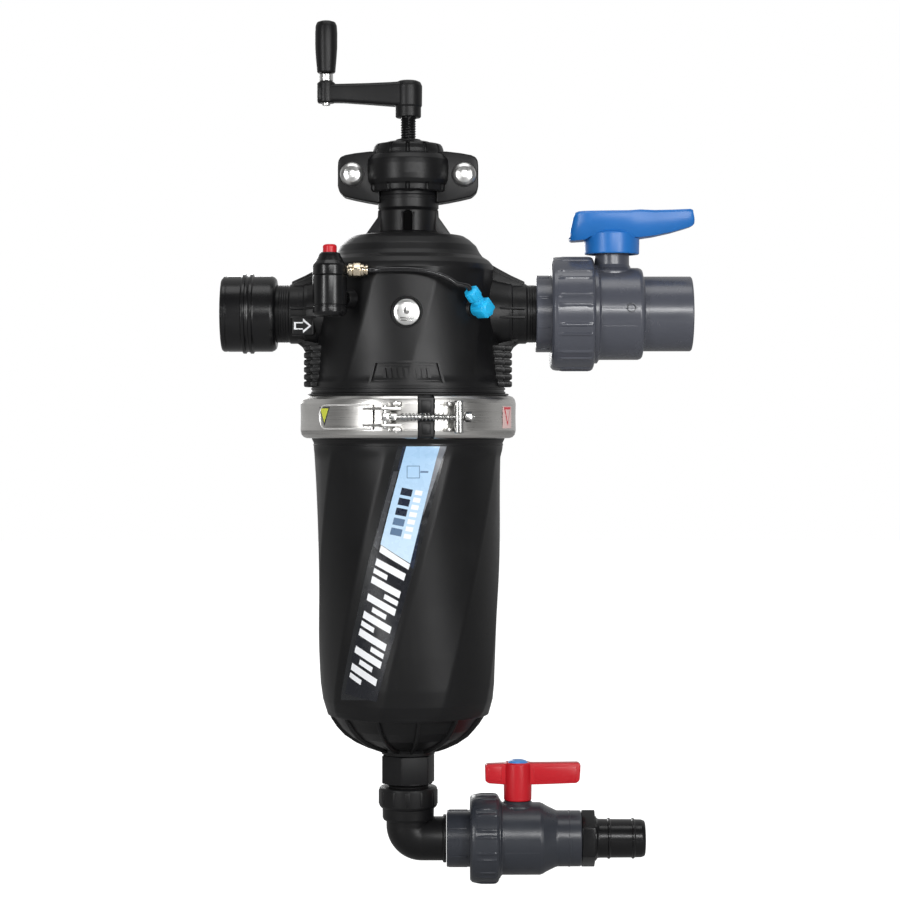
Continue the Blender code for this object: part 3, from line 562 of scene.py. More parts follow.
def ink(name, color, roughness, bottom_color=None):
    """Printed vinyl: an even ink, or one that shades from top to bottom."""
    s = Shader(name)
    if bottom_color:
        split = s.node("SeparateXYZ")
        s.feed(s.coords, split.inputs[0])
        fade = s.remap(split.outputs["Z"], FADE_TOP * 0.001 + ORIGIN[2],
                       FADE_BOTTOM * 0.001 + ORIGIN[2])
        base = s.mix(fade, color, bottom_color)
    else:
        base = s.mix(s.noise(scale=30), tinted(color, 0.95), tinted(color, 1.04))
    s.feed(base, s.surface["Base Color"])
    rough = s.remap(s.noise(scale=120), 0.3, 0.7,
                    to_min=roughness - 0.05, to_max=roughness + 0.08)
    s.feed(rough, s.surface["Roughness"])
    s.feed(s.bump(s.noise(scale=500, detail=2), strength=0.03, distance=0.0002),
           s.surface["Normal"])
    return s.material


# name, colour, roughness, grain, edge wear, scuffs, specular level (0.5 where left out)
(BLACK, BLACK_GLOSS, BLACK_MATT, GREY, DARK_GREY, BLUE, BLUE_CAP, RED, CYAN, RUBBER, NYLON, SLOT_SHADE,
 TUBE) = [plastic(*row) for row in (
    ("black_plastic", (0.0046, 0.0046, 0.0050), 0.38, 0.10, 0.08, 0.5, 0.26),
    ("black_gloss", (0.0045, 0.0045, 0.005), 0.24, 0.03, 0.06, 0.3, 0.34),
    ("black_matt", (0.006, 0.006, 0.0065), 0.48, 0.16, 0.08, 0.5, 0.22),
    ("grey_pvc", (0.060, 0.064, 0.080), 0.26, 0.05, 0.10, 0.5, 0.60),
    ("dark_grey_pvc", (0.026, 0.029, 0.037), 0.29, 0.05, 0.10, 0.5, 0.50),
    ("blue_plastic", (0.012, 0.140, 0.450), 0.34, 0.05, 0.10, 0.4, 0.4),
    ("blue_cap", (0.060, 0.260, 0.640), 0.30, 0.03, 0.05, 0.3),
    ("red_plastic", (0.500, 0.008, 0.016), 0.33, 0.05, 0.08, 0.4, 0.35),
    ("cyan_plastic", (0.012, 0.420, 0.760), 0.30, 0.03, 0.05, 0.3, 0.4),
    ("rubber", (0.015, 0.015, 0.015), 0.62, 0.25, 0.0, 0.2),
    ("white_nylon", (0.62, 0.61, 0.56), 0.42, 0.08, 0.05, 0.3),
    # the near-black row below is painted shade for the floor of the neck's slot
    ("unlit_recess", (0.0012, 0.0012, 0.0013), 0.8, 0.02, 0.0, 0.1, 0.03),
    ("tube_pe", (0.010, 0.010, 0.011), 0.18, 0.02, 0.0, 0.2),
)]
# name, colour, roughness, brush stretch, brush scale, roughness variation, scratches, brush bump
BORDER_HIGHLIGHT_STEEL, BAND, HARD, STEEL, NICKEL, BRASS = [metal(*row) for row in (
    # the first row is a painted highlight: pale, rough steel for the lever's rolled border
    ("bright_edge", (0.95, 0.94, 0.92), 0.52, (1, 1, 1), 120, 0.1, 0.3, 0.02),
    ("polished_band", (0.62, 0.61, 0.59), 0.29, (0.4, 0.4, 45), 30, 0.22, 0.3, 0.04),
    ("hinge_steel", (0.50, 0.50, 0.49), 0.22, (1, 1, 1), 120, 0.15, 0.5),
    ("bright_steel", (0.70, 0.70, 0.69), 0.30, (1, 1, 1), 120, 0.15, 0.5),
    ("nickel", (0.70, 0.61, 0.47), 0.24, (1, 1, 1), 150, 0.2, 0.5),
    ("brass", (0.72, 0.52, 0.20), 0.28, (1, 1, 30), 60, 0.2, 0.5),
)]
MESH = woven_mesh()
# name, colour, roughness, colour at the bottom
(WHITE_INK, DARK_INK, NAVY, SKY, CLEAR_EDGE, GREY_EDGE, PALE_EDGE, INK_GROUND, SLATE, YELLOW_INK,
 RED_INK, PINK) = [ink(*row) for row in (
    ("white_ink", (0.82, 0.83, 0.85), 0.36),
    ("dark_ink", (0.035, 0.037, 0.042), 0.45),
    ("navy_ink", (0.010, 0.016, 0.035), 0.26),
    ("sky_ink", (0.350, 0.545, 0.760), 0.26, (0.560, 0.720, 0.870)),
    ("clear_edge", (0.012, 0.013, 0.015), 0.22),
    ("grey_edge", (0.050, 0.052, 0.058), 0.24),
    ("pale_edge", (0.16, 0.17, 0.19), 0.24),
    ("ink_ground", (0.006, 0.007, 0.011), 0.24),
    ("slate_ink", (0.10, 0.17, 0.28), 0.3),
    ("yellow_ink", (0.58, 0.62, 0.06), 0.35),
    ("red_ink", (0.60, 0.03, 0.05), 0.35),
    ("pink_ink", (0.72, 0.50, 0.48), 0.35),
)]
SLOT_OF = {
    BLACK: "black_plastic", BLACK_GLOSS: "black_plastic", BLACK_MATT: "black_plastic",
    TUBE: "black_plastic", GREY: "grey_pvc", DARK_GREY: "dark_grey_pvc", BLUE: "blue_plastic",
    BLUE_CAP: "blue_plastic", RED: "red_plastic", CYAN: "cyan_plastic", NICKEL: "nickel",
    BAND: "stainless_band", HARD: "bright_steel", STEEL: "bright_steel",
}

# ------------------------------------------------------------------ the vessel's spiral flutes

FLUTES = 9
TWIST = 0.175                              # degrees of winding per mm of height


def flute_depth(angle, z, depth, top, bottom, fade_top, fade_bottom):
    """How far the surface is drawn in at an azimuth and height."""
    ridge = np.radians(21.6 + TWIST * (z + 408))
    u = np.mod((angle - ridge) * FLUTES / TAU, 1.0)
    fade = clip01((top - z) / fade_top) * clip01((z - bottom) / fade_bottom)
    fade = fade * fade * (3 - 2 * fade)
    return depth * (4 * u * (1 - u)) ** 0.9 * fade


def radius_table(table):
    """A radius by height, between (radius, height) rows listed from the top down."""
    radii, heights = zip(*table[::-1])
    return lambda z: np.interp(z, heights, radii)


head_radius = radius_table([
    (60, 78.6), (64, 75.2), (70, 69.5), (73.5, 63), (76.8, 58.2), (83, 54.4), (87.2, 49.5),
    (88.8, 44), (98.9, -74), (98.9, -82)])
bowl_radius = radius_table([
    (97.3, -131.8), (95.8, -191.6), (94.0, -253.4), (92.7, -294.6), (91.7, -346), (90.3, -383.2),
    (88.6, -396), (87, -403), (84.6, -409)])


def head_flutes(angles, r, z):
    if r > head_radius(z) - 1.2 and -80 < z < 47:
        return r - flute_depth(angles, z, depth=1.9, top=46, bottom=-73, fade_top=7, fade_bottom=8)
    return r


def bowl_flutes(angles, r, z):
    if r > bowl_radius(z) - 1.5 and -412 < z < -134:
        return r - flute_depth(angles, z, depth=2.1, top=-137, bottom=-413, fade_top=12,
                               fade_bottom=9)
    return r


def vessel_shell(profile, radius, flutes):
    return ring(profile, 216, radius, segments=4, step=3.0, reshape=flutes, twist=TWIST)


# ------------------------------------------------------------------ head

FRAME_TOP, FRAME_BOTTOM = -50.2, -74.6     # trapezoid frame on the head's front
FRAME_HALF_TOP, FRAME_HALF_BOTTOM = 32.2, 38.4
PLATE_SINK = -3.0                          # how deep the frame's bars reach into the shell
FIN_TOP, FIN_PITCH = -35.6, 7.35


def neck_slots(angles, r, z):
    """An arched slot down the front of the neck, and one down its back."""
    if r <= 26.5:
        return r
    distance = 29.0 * np.minimum(np.abs((angles + math.pi) % TAU - math.pi),
                                 np.abs(angles % TAU - math.pi))
    top = 104.6 - distance * distance / 9.0
    return r - 3.6 * clip01((5.0 - distance) / 0.7) * clip01((top - z) / 0.8) * clip01((z - 80) / 2)


def neck_shapes():
    neck = ring([
        (24.6, 144.5), (24.6, 74), (28.6, 74), (28.6, 105.4, 1), (30.2, 107.2, .8),
        (31.3, 108.4, .8), (31.3, 120.6, .8), (30.6, 121.6, .4), (30.6, 128.2, .5),
        (28.6, 129.6, .4), (28.6, 135.9, .4), (30.8, 137.2, .4), (30.8, 143.4, .8),
        (29.5, 144.5, .6)], 288, 0.3, segments=2, step=1.2, reshape=neck_slots)
    collar = ring([(29, 119.4), (31.9, 119.0, .4), (31.9, 117.4, .4), (29, 117.0)], 96, 0.3)
    shapes = [neck, collar]
    gusset = [(24.8, 107), (31.0, 106.6), (31.4, 99.4), (44.4, 81.0), (46.4, 76), (24.8, 76)]
    for side in (-1, 1):
        shapes.append(prism([(side * x, z) for x, z in gusset], -3.0, 3.0, 0.9, 3))
        # thin edge beside the slot
        x = side * 6.4
        shapes.append(box((x - 0.7, -29.4, 82), (x + 0.7, -26, 103.5), 0.5))
    return shapes


def port_shapes(side):
    """One port with its hub, gussets, ribs and fins, built at +X."""
    shapes = []

    def add(points, start, end, bevel=0.8):
        shapes.append(on_side(side, prism(points, start, end, bevel)))

    port = ring([
        (22.3, 62), (30.8, 62), (30.8, 120.8, .8), (30.0, 121.6, .4), (29.4, 122.4, .4),
        (29.4, 149.4, 1.0), (28.4, 150, .5), (22.3, 150)], 72, 0.4, step=6)
    hub = ring([
        (22.4, 68), (37, 68), (37, 84, 2), (34.8, 92, 2), (33.2, 99, 2), (32.4, 103, 1),
        (32.4, 106, .6), (30.9, 107, .6), (30.9, 112), (22.4, 112)], 72)
    for shape in (port, hub):
        shapes.append(on_side(side, place(shape, "X")))
    # upper pocketed gusset: a middle web, a rim each side and cross bars
    add([(78, 50), (86.5, 50.2), (93, 46.5), (106, 39.5), (119.8, 33.2), (119.8, 24), (78, 24)],
        -1.6, 1.6)
    for y in (-11.2, 9.2):
        add([(80, 44), (88, 44.4), (93.5, 41.4), (105, 35.8), (118, 30.6), (118, 20), (80, 20)],
            y, y + 2.0)
    for x, z in ((94, 43), (104, 38), (113.5, 34)):
        add([(x - 1, 22), (x + 1, 22), (x + 1, z - 1.6), (x - 1, z - 1.0)], -11, 11, 0.5)
    # a double rib along the port's front and back
    for z in (4.6, -4.6):
        for start, end in ((-34.2, -24), (24, 34.2)):
            add([(84, z - 1.3), (119.4, z - 1.3), (119.4, z + 1.3), (84, z + 1.3)], start, end, 0.6)
    # webs below the port, a concave curve down to the fins
    add([(84, -20), (118.6, -26), (118.6, -29.4), (113, -31), (108.4, -34.6), (105.4, -40),
         (104.4, -47), (104.2, -74), (84, -74)], -5.5, 5.5, 0.9)
    for start, end in ((-15.5, -12.5), (12.5, 15.5)):
        add([(84, -18), (116, -24.6), (110, -29), (104.6, -33), (101.6, -39), (100.4, -46),
             (100.4, -74), (84, -74)], start, end, 0.9)
    # horizontal fins, rounded like fingers: a middle column and one each side of it
    for k in range(6):
        z = FIN_TOP - FIN_PITCH * k
        add([(92, z - 3.0), (105.8, z - 3.0), (106.5, z - 2.0), (106.5, z + 1.8),
             (105.6, z + 2.8), (92, z + 3.0)], -17.2, 17.2, 1.0)
        for start, end in ((-35.5, -20.0), (20.0, 35.5)):
            add([(82, z - 2.9), (97.8, z - 2.9), (98.6, z - 1.9), (98.6, z + 1.7),
                 (97.7, z + 2.7), (82, z + 2.9)], start, end, 1.0)
    # the walls behind the fins
    add([(90, -75), (104.3, -75), (104.3, -36), (90, -34)], -16.2, 16.2, 0.6)
    for start, end in ((-34.5, -21.0), (21.0, 34.5)):
        add([(80, -75), (96.4, -75), (96.4, -36), (80, -34)], start, end, 0.6)
    return shapes


def frame_shapes():
    """A trapezoid frame on the shell: a raised border, a lower inner one and slanted bars."""
    def azimuth(x, z):
        return math.asin(x / float(head_radius(z)))

    def edge(z, inset=0.0):
        slope = (z - FRAME_TOP) / (FRAME_BOTTOM - FRAME_TOP)
        half = FRAME_HALF_TOP + slope * (FRAME_HALF_BOTTOM - FRAME_HALF_TOP)
        return azimuth(half - inset, z)

    def bar(left, right, top, bottom, raised, across, down):
        return curved_plate(head_radius, left, right, np.linspace(top, bottom, down + 1),
                            PLATE_SINK, raised, across)

    def level_bar(top, bottom, inset, raised, down):
        return bar(lambda z: -edge(z, inset), lambda z: edge(z, inset), top, bottom, raised,
                   40, down)

    sides = [(lambda z: -edge(z), lambda z: -edge(z, 2.4)), (lambda z: edge(z, 2.4), edge)]
    shapes = [level_bar(FRAME_TOP, FRAME_TOP - 2.2, 0.0, 0.9, 3),
              level_bar(FRAME_BOTTOM + 2.2, FRAME_BOTTOM, 0.0, 0.9, 3)]
    for left, right in sides:
        shapes.append(bar(left, right, FRAME_TOP - 1.6, FRAME_BOTTOM + 1.6, 0.9, 3, 14))
    shapes += [level_bar(FRAME_TOP - 4.2, FRAME_TOP - 5.0, 5.2, 0.25, 1),
               level_bar(FRAME_BOTTOM + 5.0, FRAME_BOTTOM + 4.2, 5.2, 0.25, 1)]
    for k in range(-4, 5):
        def slanted(z, x):
            return azimuth(x - (z + 62.4) * 0.16, z)
        x = 5.5 * k
        shapes.append(bar(lambda z: slanted(z, x - 1.5), lambda z: slanted(z, x + 1.5),
                          -57.4, -67.4, 0.3, 3, 8))
    return shapes


def build_head():
    shell = vessel_shell([
        (26, 84.4), (30.4, 84.4, .5), (33, 83.4, 2), (44, 81.6, 4), (57, 79.6, 7), (63, 75.8, 6),
        (70, 69.5, 5), (73.6, 62.5, 4), (76.6, 58.4, 3), (83, 54.4, 3), (87.2, 49.5, 3),
        (88.8, 44, 2), (98.9, -72.5, 1), (98.9, -81.8, 1), (103.3, -82.4, .6), (103.3, -84.0, .4),
        (99.2, -84.3, .5), (99.2, -88.4, 1), (104.2, -92.2, 1.2), (104.2, -105.6, .6),
        (95, -105.6, 1), (94, -104, 1), (94, -74, 1), (84, 42, 3), (78, 49, 4), (71, 55, 3),
        (60, 70, 3), (50, 74, 2), (26, 74, 1)], 0.8, head_flutes)
    shapes = [shell] + neck_shapes()
    # A near-black sheet on the slot's floor: painted shade in the recess.
    piece("neck_slot_painted_shade", [prism([
        (-4.7, 82.5), (4.7, 82.5), (4.7, 101.2), (3.3, 103.0), (0, 103.9), (-3.3, 103.0),
        (-4.7, 101.2)], -25.9, -24.9, 0.2, 1)], SLOT_SHADE)
    for side in (-1, 1):
        shapes += port_shapes(side)
    # beads round the rim above the clamp
    shapes += [bead(96.5, 99.9, -77.2, 1.2), bead(96.5, 100.0, -81.0, 1.2)]
    badge_boss = ring([
        (9, 80), (17.6, 80), (16.6, 88.5, 1), (15.3, 92.6, 1), (15.3, 94.2, .5), (14.3, 94.2, .4),
        (13.9, 92.7, .3), (9, 92.7)], 72)
    indicator_boss = ring([(5.1, 84), (11, 84), (9.5, 92, 1), (8.2, 98.8, .8), (5.1, 98.8)], 40)
    fitting_boss = ring([(5.5, 83), (11.4, 83), (9.6, 89.5, 1), (8.7, 93.4, .8), (5.5, 93.4)], 40)
    shapes += [place(badge_boss, "F", (0, 0, BADGE_Z)),
               place(indicator_boss, INDICATOR_AXIS, (0, 0, INDICATOR_AXIS_Z)),
               place(fitting_boss, FITTING_AXIS, (0, 0, FITTING_Z))]
    shapes += frame_shapes()
    # the stop block behind the clamp's gap
    shapes += [place(box((-8.2, -109.6, -105.4), (8.2, -98, -86.2), 1.2, 3), turn=CLAMP_TURN),
               place(box((-5.2, -110.2, -101), (5.2, -108, -89)), turn=CLAMP_TURN)]
    stand_in("head", shapes, BLACK, name="head_shell")


# ------------------------------------------------------------------ bowl


def build_bowl():
    shell = vessel_shell([
        (92.5, -106.4), (104.2, -106.4, .6), (104.2, -119.8, 1.5), (99.4, -123.8, 1),
        (99.2, -128.4, .5), (98.4, -130.2, .5), (97.3, -132.4, 1), (95.8, -191.6, 8),
        (94, -253.4, 8), (92.7, -294.6, 8), (91.7, -346, 8), (90.6, -380, 8), (88.9, -396, 6),
        (86.4, -404.8, 4), (84.2, -409.0, 2), (82.6, -411.0, .8), (78.8, -411.6, .8),
        (76.2, -414.6, 2), (68.6, -425.0, 6), (58.6, -433.8, 6), (46, -440.6, 6),
        (35.5, -444.6, 3), (29.5, -446.6, 2), (27.5, -449.5, .8), (27.3, -452.4, .6),
        (26.4, -453, .4), (21.2, -453), (21.2, -440), (45, -435.2), (60, -427), (74, -411),
        (82, -398), (86, -383), (89, -253), (92.5, -132)], 0.6, bowl_flutes)
    rib = prism([
        (26, -436), (60, -424), (74, -409), (79.4, -407), (81.6, -409.8), (79.2, -415.4),
        (73.6, -423.8), (65.6, -432.4), (54, -440.2), (41.6, -446.0), (33.6, -448.8),
        (30, -449.6), (26, -449.6)], -1.7, 1.7)
    shapes = [shell] + around(rib, 12, 0.28)
    shapes += [bead(95.5, 98.3, -129.6, 1.0), bead(95.5, 97.7, -134.6, 1.0)]
    # the stop block behind the clamp's gap
    shapes += [place(box((-8.2, -109.4, -126.4), (8.2, -98, -107), 1.2, 3), turn=CLAMP_TURN),
               place(box((-4.6, -110.0, -123.4), (4.6, -108, -112.0)), turn=CLAMP_TURN)]
    stand_in("bowl", shapes, BLACK, name="bowl_shell")


def build_drain_nipple():
    collar = ring([(15, -481), (25.0, -481, 1), (25.0, -482.6, .6), (20.4, -484.8, .6),
                   (20.4, -487), (15, -487)], 48)
    top = ring([(15, -440), (19.9, -440), (19.9, -455), (15, -455)], 48, 0.3)
    stand_in("drain_nipple", [hexagon(49, -482.6, -453.6, 1.2, 0.3),
                              screw(20.1, 14.9, -500, -483, 2.3, 0.9), collar, top], BLACK_MATT)


# ------------------------------------------------------------------ crank, shaft, bonnet


def crank_beam():
    # x, bottom, top, half width
    stations = [
        (-92.5, 218.2, 235.3, 7.4), (-84.5, 217.9, 236.2, 8.4), (-66, 217.6, 236.6, 8.2),
        (-40, 215.9, 237.2, 8.9), (-18, 214.4, 238.0, 10.4), (-6, 213.6, 238.6, 11.6),
        (6, 213.6, 238.6, 11.6)]
    sections = []
    for x, low, high, half in stations:
        section = [(-half, low + 2.4), (-half + 1.6, low), (half - 1.6, low), (half, low + 2.4),
                   (half, high - 3.0), (half - 2.4, high), (-half + 2.4, high), (-half, high - 3.0)]
        sections.append([(x, y, z) for y, z in section])
    return loft(sections, 0.9, 20)


def build_crank():
    grip_at = (GRIP_X, 0, 0)
    hub = ring([
        (8.4, 240.2), (8.8, 240.2, .5), (12.6, 238.6, 2), (14.4, 234.6, 1.5), (14.2, 214.5, 1),
        (13.2, 212.6, 1), (13.2, 203.0, 1), (12.2, 202, .5), (8.4, 202)], 72, 0.5)
    hub_cap = lathe([(0, 239.0, 0), (6.8, 239.0, .4), (7.4, 239.6, .3), (8.2, 239.9, .3),
                     (8.6, 239.4), (8.6, 236), (0, 236)], 48)
    boss = ring([(4.4, 238.9), (7.8, 238.9, .8), (9.3, 237.3, .8), (9.3, 218.6, .8),
                 (8.3, 217.1, .6), (4.4, 217.1)], 56)
    stand_in("crank_arm", [crank_beam(), hub, hub_cap, place(boss, at=grip_at)], BLACK, "crank")
    set_screw = lathe([(0, 12.6), (2.3, 12.6, .3), (2.8, 12.1, .3), (2.8, 8.6), (0, 8.6)], 24)
    stand_in("hub_set_screw", [place(set_screw, "F", (0, 0, 208))], STEEL, "crank")
    spindle = lathe([
        (0, 289), (3.4, 289, .5), (4, 288, .4), (4, 248), (6.4, 247.5, .6), (7.1, 246.6, .6),
        (7.1, 240, .6), (6.4, 239.0, .4), (4.2, 238.6), (4.2, 214.6), (0, 214.6)], 48)
    stand_in("grip_spindle", [place(spindle, at=grip_at)], STEEL, "crank")
    grip = lathe([
        (0, 302), (5.5, 301.7, 2), (9.4, 300.4, 2.5), (11.0, 296.6, 3), (11.5, 289, 6),
        (11.4, 274, 10), (10.6, 262, 10), (9.8, 253.5, 4), (9.5, 249.6, .8), (9.0, 248.5, .5),
        (8.4, 248.1, .4), (4.5, 248.1), (4.5, 289.6), (0, 289.6)], 64, 0.6, segments=4)
    stand_in("crank_grip", [place(grip, at=grip_at)], BLACK, "grip")


def build_shaft():
    """Smooth below, with a coarse lead screw above the bonnet."""
    low = lathe([
        (0, 178), (7.2, 178), (8.0, 177), (8.0, 74.2, .3), (11.4, 74, .5), (11.4, 70.8, .5),
        (8.0, 70.6, .3), (8.0, 41, .5), (7.4, 40.5), (0, 40.5)], 40)
    thread = screw(8.0, 0.05, 177.5, 203.5, 2.6, 1.0, 40)
    top = lathe([(0, 231), (6.6, 231, .4), (7.3, 230.2), (7.3, 202), (0, 202)], 40)
    stand_in("drive_shaft", [low, thread, top], BLACK_GLOSS, "crank")


def build_bonnet():
    """A domed cap with a grooved rim."""
    dome = ring([
        (8.6, 176.6), (14, 177, 1), (21.5, 176.9, 2), (27.2, 174.2, 3), (30, 171.8, 1.5),
        (31, 169.2, .8), (31, 161.6, .4), (28.6, 160.4, .4), (28.6, 154.6, .4), (31, 153.4, .4),
        (31, 145.3, .4), (24.1, 145.2), (24.1, 131), (14.4, 131), (14.4, 165), (8.6, 165)], 80, 0.4)
    collar = ring([(8.7, 179.6), (12.2, 179.6, .8), (13.8, 178.4, .6), (14.2, 176.2),
                   (8.7, 176.2)], 48)
    stand_in("bonnet", [dome, collar], BLACK)


# ------------------------------------------------------------------ coupling


def coupling_notches(angles, r, z):
    """Notched rims at the top and bottom, one notch every 30 degrees."""
    if r > 33.4 and (z < 131.8 or z > 163.6):
        distance = np.abs(np.mod(np.degrees(angles) + 15.0, 30.0) - 15.0)
        return r - 2.0 * clip01((2.9 - distance) / 0.9)
    return r


def build_coupling():
    profile = [
        (29.6, 129.8), (34, 128.2, .5), (34, 124.6, .4), (38.4, 124.4, .6), (40.2, 125.8, .8),
        (40.6, 131.2, .8), (41.8, 133.0, .8), (43.2, 136.4, 2), (43.8, 142, 4), (43.8, 152, 4),
        (43.2, 157.6, 2), (39.6, 162.2, 1), (36.6, 164, .5), (36.4, 168.2, 1), (35.2, 172.0, 1),
        (33.6, 174.0, .8), (31.4, 174.6, .4), (31.4, 163, .4), (29.6, 160, .5), (29.6, 155.2, .5),
        (32, 154.4), (32, 152), (35.9, 151.6), (35.9, 138.5), (32, 138), (32, 136.4),
        (29.6, 135.4)]
    ear = [
        (28.8, 166.4), (40, 166.0), (54, 164.4), (64.5, 162.4), (69.2, 160.4), (71.6, 156.4),
        (72, 150.0), (72, 130.6), (70.6, 125.0), (65.4, 119.9), (54, 117.2), (42, 114.8),
        (33.5, 113.4), (28.8, 112.9)]
    bolt_pad = ring([(5.3, 11), (13.6, 11), (13.2, 14.0, .5), (12.8, 14.3, .3), (5.3, 14.3)], 48)
    reach = 90 - 0.9                       # half a turn's half, less the gap at the joint
    for half, middle, ear_span, outwards in (("front", 0, (-14, -0.4), "F"),
                                             ("rear", 180, (0.4, 14), (0, 1, 0))):
        shapes = [arc(profile, middle - reach, middle + reach, 150, 0.3, step=2.0,
                      reshape=coupling_notches)]
        for side in (-1, 1):
            shapes.append(prism([(side * x, z) for x, z in ear], *ear_span, 1.6, 3))
            shapes.append(place(bolt_pad, outwards, (BOLT_X * side, 0, BOLT_Z)))
        stand_in("coupling_half_" + half, shapes, BLACK, name="coupling_body_" + half)
    bolt = lathe([
        (0, 20.6), (4.0, 20.3, 3), (8.4, 18.8, 3), (11.0, 16.6, 1.5), (12.2, 15.0, .5),
        (12.2, 14.5, .2), (4.6, 14.4), (4.6, -25.4, .8), (0, -26)], 64)
    for side, word in ((-1, "left"), (1, "right")):
        at = (BOLT_X * side, 0, BOLT_Z)
        stand_in("coupling_bolt_" + word, [place(bolt, "F", at)], STEEL,
                 name="coupling_bolt_body_" + word)
        nut = stand_in("coupling_nut_" + word, [place(hexagon(15, -22.8, -14.6, 0.7), "F", at)],
                       STEEL, name="coupling_nut_body_" + word)
        carve(nut, place(rod(4.9, -10, -30, 36, 0), "F", at))


# ------------------------------------------------------------------ badge, indicator, sensing tube

INDICATOR_AT = (-76.4, -90, 2.6)
SIDE_FITTING_AT = (-2.4, -90, 39.6)        # nickel fitting on the indicator cap's right side


def build_badge():
    disc = lathe([(0, 95.5), (5, 95.4, 3), (9.6, 94.9, 3), (12.4, 94.1, .8), (13.2, 93.5, .3),
                  (13.2, 93.0), (0, 93.0)], 72)
    stand_in("head_badge", [place(disc, "F", (0, 0, BADGE_Z))], STEEL, name="badge_disc")
    # a drop over two bars
    drop = [(3.3 * math.sin(math.radians(a)), -1.4 - 3.3 * math.cos(math.radians(a)))
            for a in range(-140, 141, 14)] + [(1.2, 2.6), (0, 5.2), (-1.2, 2.6)]
    bars = [box((-7.5 + inset, -95.9, z), (7.5 - inset, -94.6, z + 1.3), 0.35)
            for inset, z in ((0, -8.4), (1.2, -10.9))]
    piece("badge_mark", [place(prism(drop, -95.9, -94.8, 0.3), at=(0, 0, 0.6))] + bars, HARD,
          slot="bright_steel")


def build_indicator():
    body = lathe([
        (0, 31.9), (16.4, 31.9, .3), (17, 31.2, .5), (17, 3.0, .5), (16.0, 2.3, .2),
        (16.0, 1.1, .2), (17, 0.4, .5), (17, -4.6, 2), (15.2, -7.6, 1.5), (13.4, -8.6, 1),
        (11.5, -8.6, .3), (11, -7.6, .3), (0, -7.6)], 72)
    stub = place(rod(4.6, 91, 104, 28), INDICATOR_AXIS, (0, 0, INDICATOR_AXIS_Z))
    stand_in("indicator_body", [place(body, at=INDICATOR_AT), stub], BLACK_GLOSS,
             name="indicator_body_shell")
    cap = ring([
        (7.6, 54.7), (9.0, 54.7, .4), (10.2, 53.6, .8), (11.2, 51.0, 1), (13.6, 46.4, 2),
        (16.4, 43.2, 2), (17, 41.4, 1), (17, 33.0, .6), (16.4, 32.3, .3), (7.6, 32.3)], 72)
    stand_in("indicator_cap", [place(cap, at=INDICATOR_AT)], BLACK_GLOSS,
             name="indicator_cap_shell")
    button = lathe([(0, 63), (4.6, 62.8, 1), (6.4, 62.0, 1), (7, 60.6, .6), (7, 44.2),
                    (0, 44.2)], 56)
    stand_in("indicator_button", [place(button, at=INDICATOR_AT)], RED, "button")

    collars = ring([
        (3.1, -56.6), (4.8, -56.6), (4.8, -55.5, .3), (6.6, -55.2, .4), (6.6, -51.4, .4),
        (4.9, -50.4), (4.9, -43.6), (6.2, -43.4, .3), (6.2, -40.2, .4), (4.7, -39.6, .3),
        (4.7, -38.4, .3), (5.4, -38.1, .3), (5.4, -36.1, .4), (3.1, -36.1)], 40, 0.2)
    stand_in("indicator_fitting", [place(shape, "X", SIDE_FITTING_AT) for shape in
                                   (hexagon(13.5, -50.6, -43.4, 0.7, 0.3), collars)], NICKEL)


def build_sensing_tube():
    """The cyan elbow fitting on the head, its nut, and the tube from it to the indicator."""
    axis_length = 101.86                   # of FITTING_AXIS
    outwards = np.array(FITTING_AXIS) / axis_length
    branch = np.array([70, 74, 0]) / axis_length * -0.727 + np.array([0, 0, 0.686])
    elbow = outwards * 104.5 + np.array([0, 0, FITTING_Z])

    def on_head(shape):
        return place(shape, tuple(outwards), (0, 0, FITTING_Z))

    def on_branch(shape):
        return place(shape, tuple(branch), tuple(elbow))

    stem = lathe([
        (0, 113.4), (5.6, 113.3, .6), (6.6, 112.2, .4), (8.4, 111.6, .4), (8.4, 98.0, .4),
        (7.6, 96.6, .5), (7.6, 94.4, .5), (0, 94.1)], 48)
    block = prism([(7.6, -7.4), (7.6, 8.6), (-7.6, 8.6), (-7.6, -7.4)], -7.4, 7.4, 1.4, 3, "Z")
    arm = lathe([(0, 13.4), (5.4, 13.4), (6.3, 12.6, .4), (6.3, 9.6, .4), (5.7, 9.0), (5.7, 0),
                 (0, 0)], 40)
    stand_in("tube_fitting", [
        on_head(stem), on_head(hexagon(17.6, 98.4, 111.0, 1.0, 0.35)), on_branch(block),
        on_branch(arm), on_head(rod(4.8, 95, 89, 24))], CYAN)
    nut = lathe([(0, 26), (4.2, 26, .4), (5.6, 25.6, .4), (6.6, 25.0, .4), (6.8, 14.2, .4),
                 (6.2, 13.8), (0, 13.7)], 44)
    rib = box((-0.8, 6.6, 15.2), (0.8, 7.55, 23.6), 0.3, 1)
    stand_in("tube_fitting_nut", [
        on_branch(nut), on_branch(hexagon(13.8, 14.4, 24.8, 0.7, 0.2))]
        + around(rib, 10, 0, tuple(branch), tuple(elbow)), CYAN)
    end = elbow + branch * 26.8
    path = [
        (-38.0, -90, 39.6), (-33, -90.2, 39.6), (-24, -92.5, 40.0), (-8, -95, 40.2),
        (8, -96.5, 39.6), (22, -97, 37.6), (34, -96.5, 34.2), (43, -95, 30), (50.5, -92, 25.6),
        tuple(end + branch * 3.5 + np.array([-0.6, 0, 0.4])), tuple(end - branch * 0.4)]
    stand_in("sensing_tube", [sweep(smooth_path(path, 8), 2.55, 16)], TUBE)


# ------------------------------------------------------------------ inlet adapter and flow arrow


